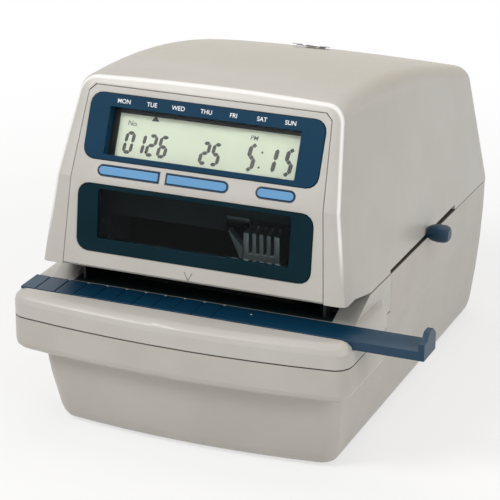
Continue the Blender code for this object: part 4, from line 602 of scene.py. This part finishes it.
def make_display_content():
    """Lit bars of the count, day and time, the signs over them, and painted shade along the glass's
    edges.
    """
    out = front_of("lcd_panel", UPPER_LEAN) + GLASS_INK
    glass = panel_matrix(UPPER_LEAN, 0.0, 0.0, out)
    groups = {
        "count_figures": ("0126", (-0.0442, -0.0382, -0.0322, -0.0260), 0.0147, 0.0053, 0.0112),
        "day_figures": ("25", (-0.0039, 0.0019), 0.0144, 0.0050, 0.0115),
        "time_figures": ("515", (0.0201, 0.0308, 0.0393), 0.0143, 0.0049, 0.0137),
    }
    for name, (figures, places, low, width, height) in groups.items():
        bars = []
        for figure, left in zip(figures, places):
            bars += digit_outlines(figure, left, low, width, height, height * 0.155)
        flat_shape(name, bars, GLASS_INK, glass, BLACK_INK_AND_SHADE, "cover")
    # Painted shade: black strips along the glass's left and top edges stand for the shade and dark
    # inner walls of the frame's recess.
    mask = [[(-0.0525, 0.0105), (-0.0473, 0.0105), (-0.0473, 0.0343), (-0.0525, 0.0343)],
            [(-0.0525, 0.0343), (0.0512, 0.0343), (0.0512, 0.0380), (-0.0525, 0.0380)]]
    flat_shape("glass_edge_shade", mask, 2 * GLASS_INK, glass, BLACK_INK_AND_SHADE, "cover")
    dots = [circle_outline(0.0279, 0.0169, 0.00055, 12), circle_outline(0.0286, 0.0242, 0.00055, 12)]
    pointer = [[(-0.0307, 0.0321), (-0.0266, 0.0321), (-0.0287, 0.0350)]]
    flat_shape("time_colon", dots, GLASS_INK, glass, BLACK_INK_AND_SHADE, "cover")
    flat_shape("day_pointer", pointer, GLASS_INK, glass, BLACK_INK_AND_SHADE, "cover")
    for name, words, across, up, height in (("number_sign", "No.", -0.0403, 0.0297, 0.0036),
                                            ("afternoon_sign", "PM", 0.0234, 0.0304, 0.0032)):
        place = panel_matrix(UPPER_LEAN, across, up, out)
        sign = lettering(name, words, height, 0.00002, place, BLACK_INK_AND_SHADE, "cover")
        sign.data.shear = 0.15


def circle_outline(x, y, radius, steps):
    turns = [2 * math.pi * i / steps for i in range(steps)]
    return [(x + radius * math.cos(turn), y + radius * math.sin(turn)) for turn in turns]


make_display_content()


def stroke_outline(start, end, width):
    """A straight stroke with square ends between two points."""
    along = (Vector(end) - Vector(start)).normalized() * (width / 2)
    side = Vector((-along.y, along.x))
    corners_of_stroke = (Vector(start) + side, Vector(start) - side, Vector(end) - side,
                         Vector(end) + side)
    return [tuple(corner) for corner in corners_of_stroke]


def make_panel_marks():
    """Day names over the display, the mark on the lip and the dot on the guide."""
    out = front_of("lcd_frame", UPPER_LEAN)
    days = zip(("MON", "TUE", "WED", "THU", "FRI", "SAT", "SUN"),
               (-0.0434, -0.0286, -0.0147, -0.0001, 0.0140, 0.0286, 0.0432))
    for day, across in days:
        lettering("day_" + day.lower(), day, 0.0030, 0.00003,
                  panel_matrix(UPPER_LEAN, across, 0.0392, out), WHITE_INK, "cover")
    mark = [stroke_outline((-0.0033, -0.0392), (-0.0012, -0.0432), 0.0006),
            stroke_outline((-0.0012, -0.0432), (0.0009, -0.0392), 0.0006)]
    lip = panel_matrix(LOWER_LEAN, 0.0, 0.0, PRINT_LIFT)
    flat_shape("centre_mark", mark, PRINT_THICKNESS, lip, MARK_INK, "cover")
    dot = [circle_outline(0.0302, 0.0021, 0.0005, 12)]
    on_guide = Matrix.Translation(HOME + Vector((0.0, 0.0, GUIDE_TOP + PRINT_LIFT)))
    flat_shape("guide_dot", dot, PRINT_THICKNESS, on_guide, WHITE_INK, "guide")


def rounded_strip(left, right, low, high, grow, left_round, right_round):
    """Outline of a button: each end square or half round."""
    middle = (low + high) / 2
    half = (high - low) / 2 + grow
    points = []
    for centre, facing, is_round in ((right + grow - half, 1, right_round),
                                     (left - grow + half, -1, left_round)):
        if is_round:
            turns = [math.pi * (i / 12 - 0.5) for i in range(13)]
            points += [(centre + facing * half * math.cos(turn),
                        middle + facing * half * math.sin(turn)) for turn in turns]
        else:
            end = centre + facing * half
            points += [(end, middle - facing * half), (end, middle + facing * half)]
    return points


def ring_plate(name, outer, inner, thickness, matrix, finish, body, slot):
    """A thin flat ring between two outlines with equally many points."""
    form = bmesh.new()
    rows = [[form.verts.new((x, y, z)) for x, y in outline]
            for outline, z in ((outer, 0.0), (inner, 0.0), (inner, thickness), (outer, thickness))]
    count = len(outer)
    for first, second in zip(rows, rows[1:] + rows[:1]):
        for i in range(count):
            j = (i + 1) % count
            form.faces.new((first[i], first[j], second[j], second[i]))
    bmesh.ops.recalc_face_normals(form, faces=form.faces)
    return lay(name, form, matrix, finish, body)


BUTTON_EDGES = {
    "left": (-0.0514, -0.0196, True, False),
    "middle": (-0.0153, 0.0163, False, True),
    "right": (0.0315, 0.0505, True, True),
}


def make_button_rims():
    """The dark shadow line in the bezel around each button."""
    place = panel_matrix(UPPER_LEAN, 0.0, 0.0, PRINT_LIFT)
    for name, (left, right, left_round, right_round) in BUTTON_EDGES.items():
        outlines = [rounded_strip(left, right, 0.0027, 0.0073, grow, left_round, right_round)
                    for grow in (0.00072, 0.0002)]
        ring_plate(name + "_button_rim", *outlines, PRINT_THICKNESS, place, RIM_PAINTED_SHADOW, "cover",
                   "beige_plastic")


make_button_rims()
make_panel_marks()

FINE = {
    "lcd_lens": 0.0001, "window_lens": 0.0001, "lcd_panel": 0.0001, "ribbon": 0.0,
    "ribbon_blade": 0.0001, "carriage_shaft": 0.0003, "drive_belt": 0.0002,
}
for name in frame["nodes"]:
    dress(name, FINE.get(name, 0.0003))


# Stage, lights and camera

def stage_floor():
    mesh = bpy.data.meshes.new("floor")
    rim = [(-6.0, -6.0, 0.0), (6.0, -6.0, 0.0), (6.0, 6.0, 0.0), (-6.0, 6.0, 0.0)]
    mesh.from_pydata(rim, [], [(0, 1, 2, 3)])
    floor = bpy.data.objects.new("floor", mesh)
    bpy.context.scene.collection.objects.link(floor)
    finish = Finish("pale_floor", (0.86, 0.86, 0.86), 0.9)
    seen = finish.node("ShaderNodeLightPath", out="Is Camera Ray")
    mirrored = finish.node("ShaderNodeLightPath", out="Is Glossy Ray")
    through = finish.node("ShaderNodeLightPath", out="Is Transmission Ray")
    white = finish.node("ShaderNodeEmission", {}, {"Color": (1, 1, 1, 1), "Strength": 1.0})
    shader = Value(finish, finish.shader.outputs[0])
    reach = finish.node("ShaderNodeVectorMath", {"operation": "LENGTH"}, {0: finish.place},
                        out="Value")
    shown = (seen + mirrored + through).above(0.5) * (reach.ease(0.12, 0.6) * 0.35 + 0.65)
    mixed = finish.node("ShaderNodeMixShader", {}, {0: shown, 1: shader, 2: white})
    finish.feed(finish.tree.nodes["Material Output"].inputs["Surface"], mixed)
    mesh.materials.append(finish.material)


def stage_world():
    world = bpy.data.worlds.new("studio")
    bpy.context.scene.world = world
    world.use_nodes = True
    nodes = world.node_tree.nodes
    links = world.node_tree.links
    path = nodes.new("ShaderNodeLightPath")
    shown = nodes.new("ShaderNodeMath")
    shown.operation = "MAXIMUM"
    links.new(path.outputs["Is Camera Ray"], shown.inputs[0])
    links.new(path.outputs["Is Glossy Ray"], shown.inputs[1])
    through = nodes.new("ShaderNodeMath")
    through.operation = "MAXIMUM"
    links.new(shown.outputs[0], through.inputs[0])
    links.new(path.outputs["Is Transmission Ray"], through.inputs[1])
    strength = nodes.new("ShaderNodeMapRange")
    strength.inputs["To Min"].default_value = 0.30
    strength.inputs["To Max"].default_value = 1.0
    links.new(through.outputs[0], strength.inputs["Value"])
    background = nodes["Background"]
    background.inputs["Color"].default_value = (1.0, 1.0, 1.0, 1.0)
    links.new(strength.outputs[0], background.inputs["Strength"])


def add_lamp(name, place, aim, size, power, colour=(1.0, 1.0, 1.0)):
    lamp = bpy.data.lights.new(name, "AREA")
    lamp.color = colour
    lamp.shape = "RECTANGLE"
    lamp.size, lamp.size_y = size
    lamp.energy = power
    holder = bpy.data.objects.new(name, lamp)
    bpy.context.scene.collection.objects.link(holder)
    holder.location = place
    holder.rotation_euler = (Vector(aim) - Vector(place)).to_track_quat("-Z", "Y").to_euler()


AZIMUTH = 22.632
ELEVATION = 21.059
ROLL = 0.2277
FOCAL_PIXELS = 2198.7
DISTANCE = 1.05496
AIM = HOME + Vector((0.0, 0.0, 0.100))
AIM_PIXEL = (191.624, 256.311)
FRAME_PIXELS = 500
SENSOR = 36.0


def place_camera():
    azimuth, elevation, roll = (math.radians(a) for a in (AZIMUTH, ELEVATION, ROLL))
    ahead = Vector((-math.sin(azimuth) * math.cos(elevation),
                    math.cos(azimuth) * math.cos(elevation), -math.sin(elevation)))
    right = Vector((math.cos(azimuth), math.sin(azimuth), 0.0))
    above = right.cross(ahead)
    across = (AIM_PIXEL[0] - FRAME_PIXELS / 2) / FOCAL_PIXELS * DISTANCE
    down = (AIM_PIXEL[1] - FRAME_PIXELS / 2) / FOCAL_PIXELS * DISTANCE
    eye = AIM - ahead * DISTANCE - right * across + above * down
    turned_right = right * math.cos(roll) + above * math.sin(roll)
    turned_above = above * math.cos(roll) - right * math.sin(roll)
    turn = Matrix((turned_right, turned_above, -ahead)).transposed().to_4x4()
    lens = bpy.data.cameras.new("camera")
    lens.sensor_width = SENSOR
    lens.lens = FOCAL_PIXELS * SENSOR / FRAME_PIXELS
    camera = bpy.data.objects.new("camera", lens)
    bpy.context.scene.collection.objects.link(camera)
    camera.matrix_world = Matrix.Translation(eye) @ turn
    bpy.context.scene.camera = camera


stage_floor()
stage_world()
add_lamp("key_lamp", (-0.75, -1.05, 1.25), (0.0, -0.02, 0.08), (0.6, 0.5), 15.5)
add_lamp("side_lamp", (1.25, -0.55, 0.75), (0.0, 0.0, 0.08), (0.9, 0.9), 7.5)
add_lamp("top_lamp", (0.05, 0.35, 1.45), (0.0, 0.0, 0.08), (1.2, 1.0), 6.0,
         (1.0, 0.94, 0.84))
place_camera()
bpy.context.scene.view_settings.view_transform = "Standard"

for name in ("lcd_lens", "window_lens"):
    bpy.data.objects[name + "_dressed"].visible_shadow = False
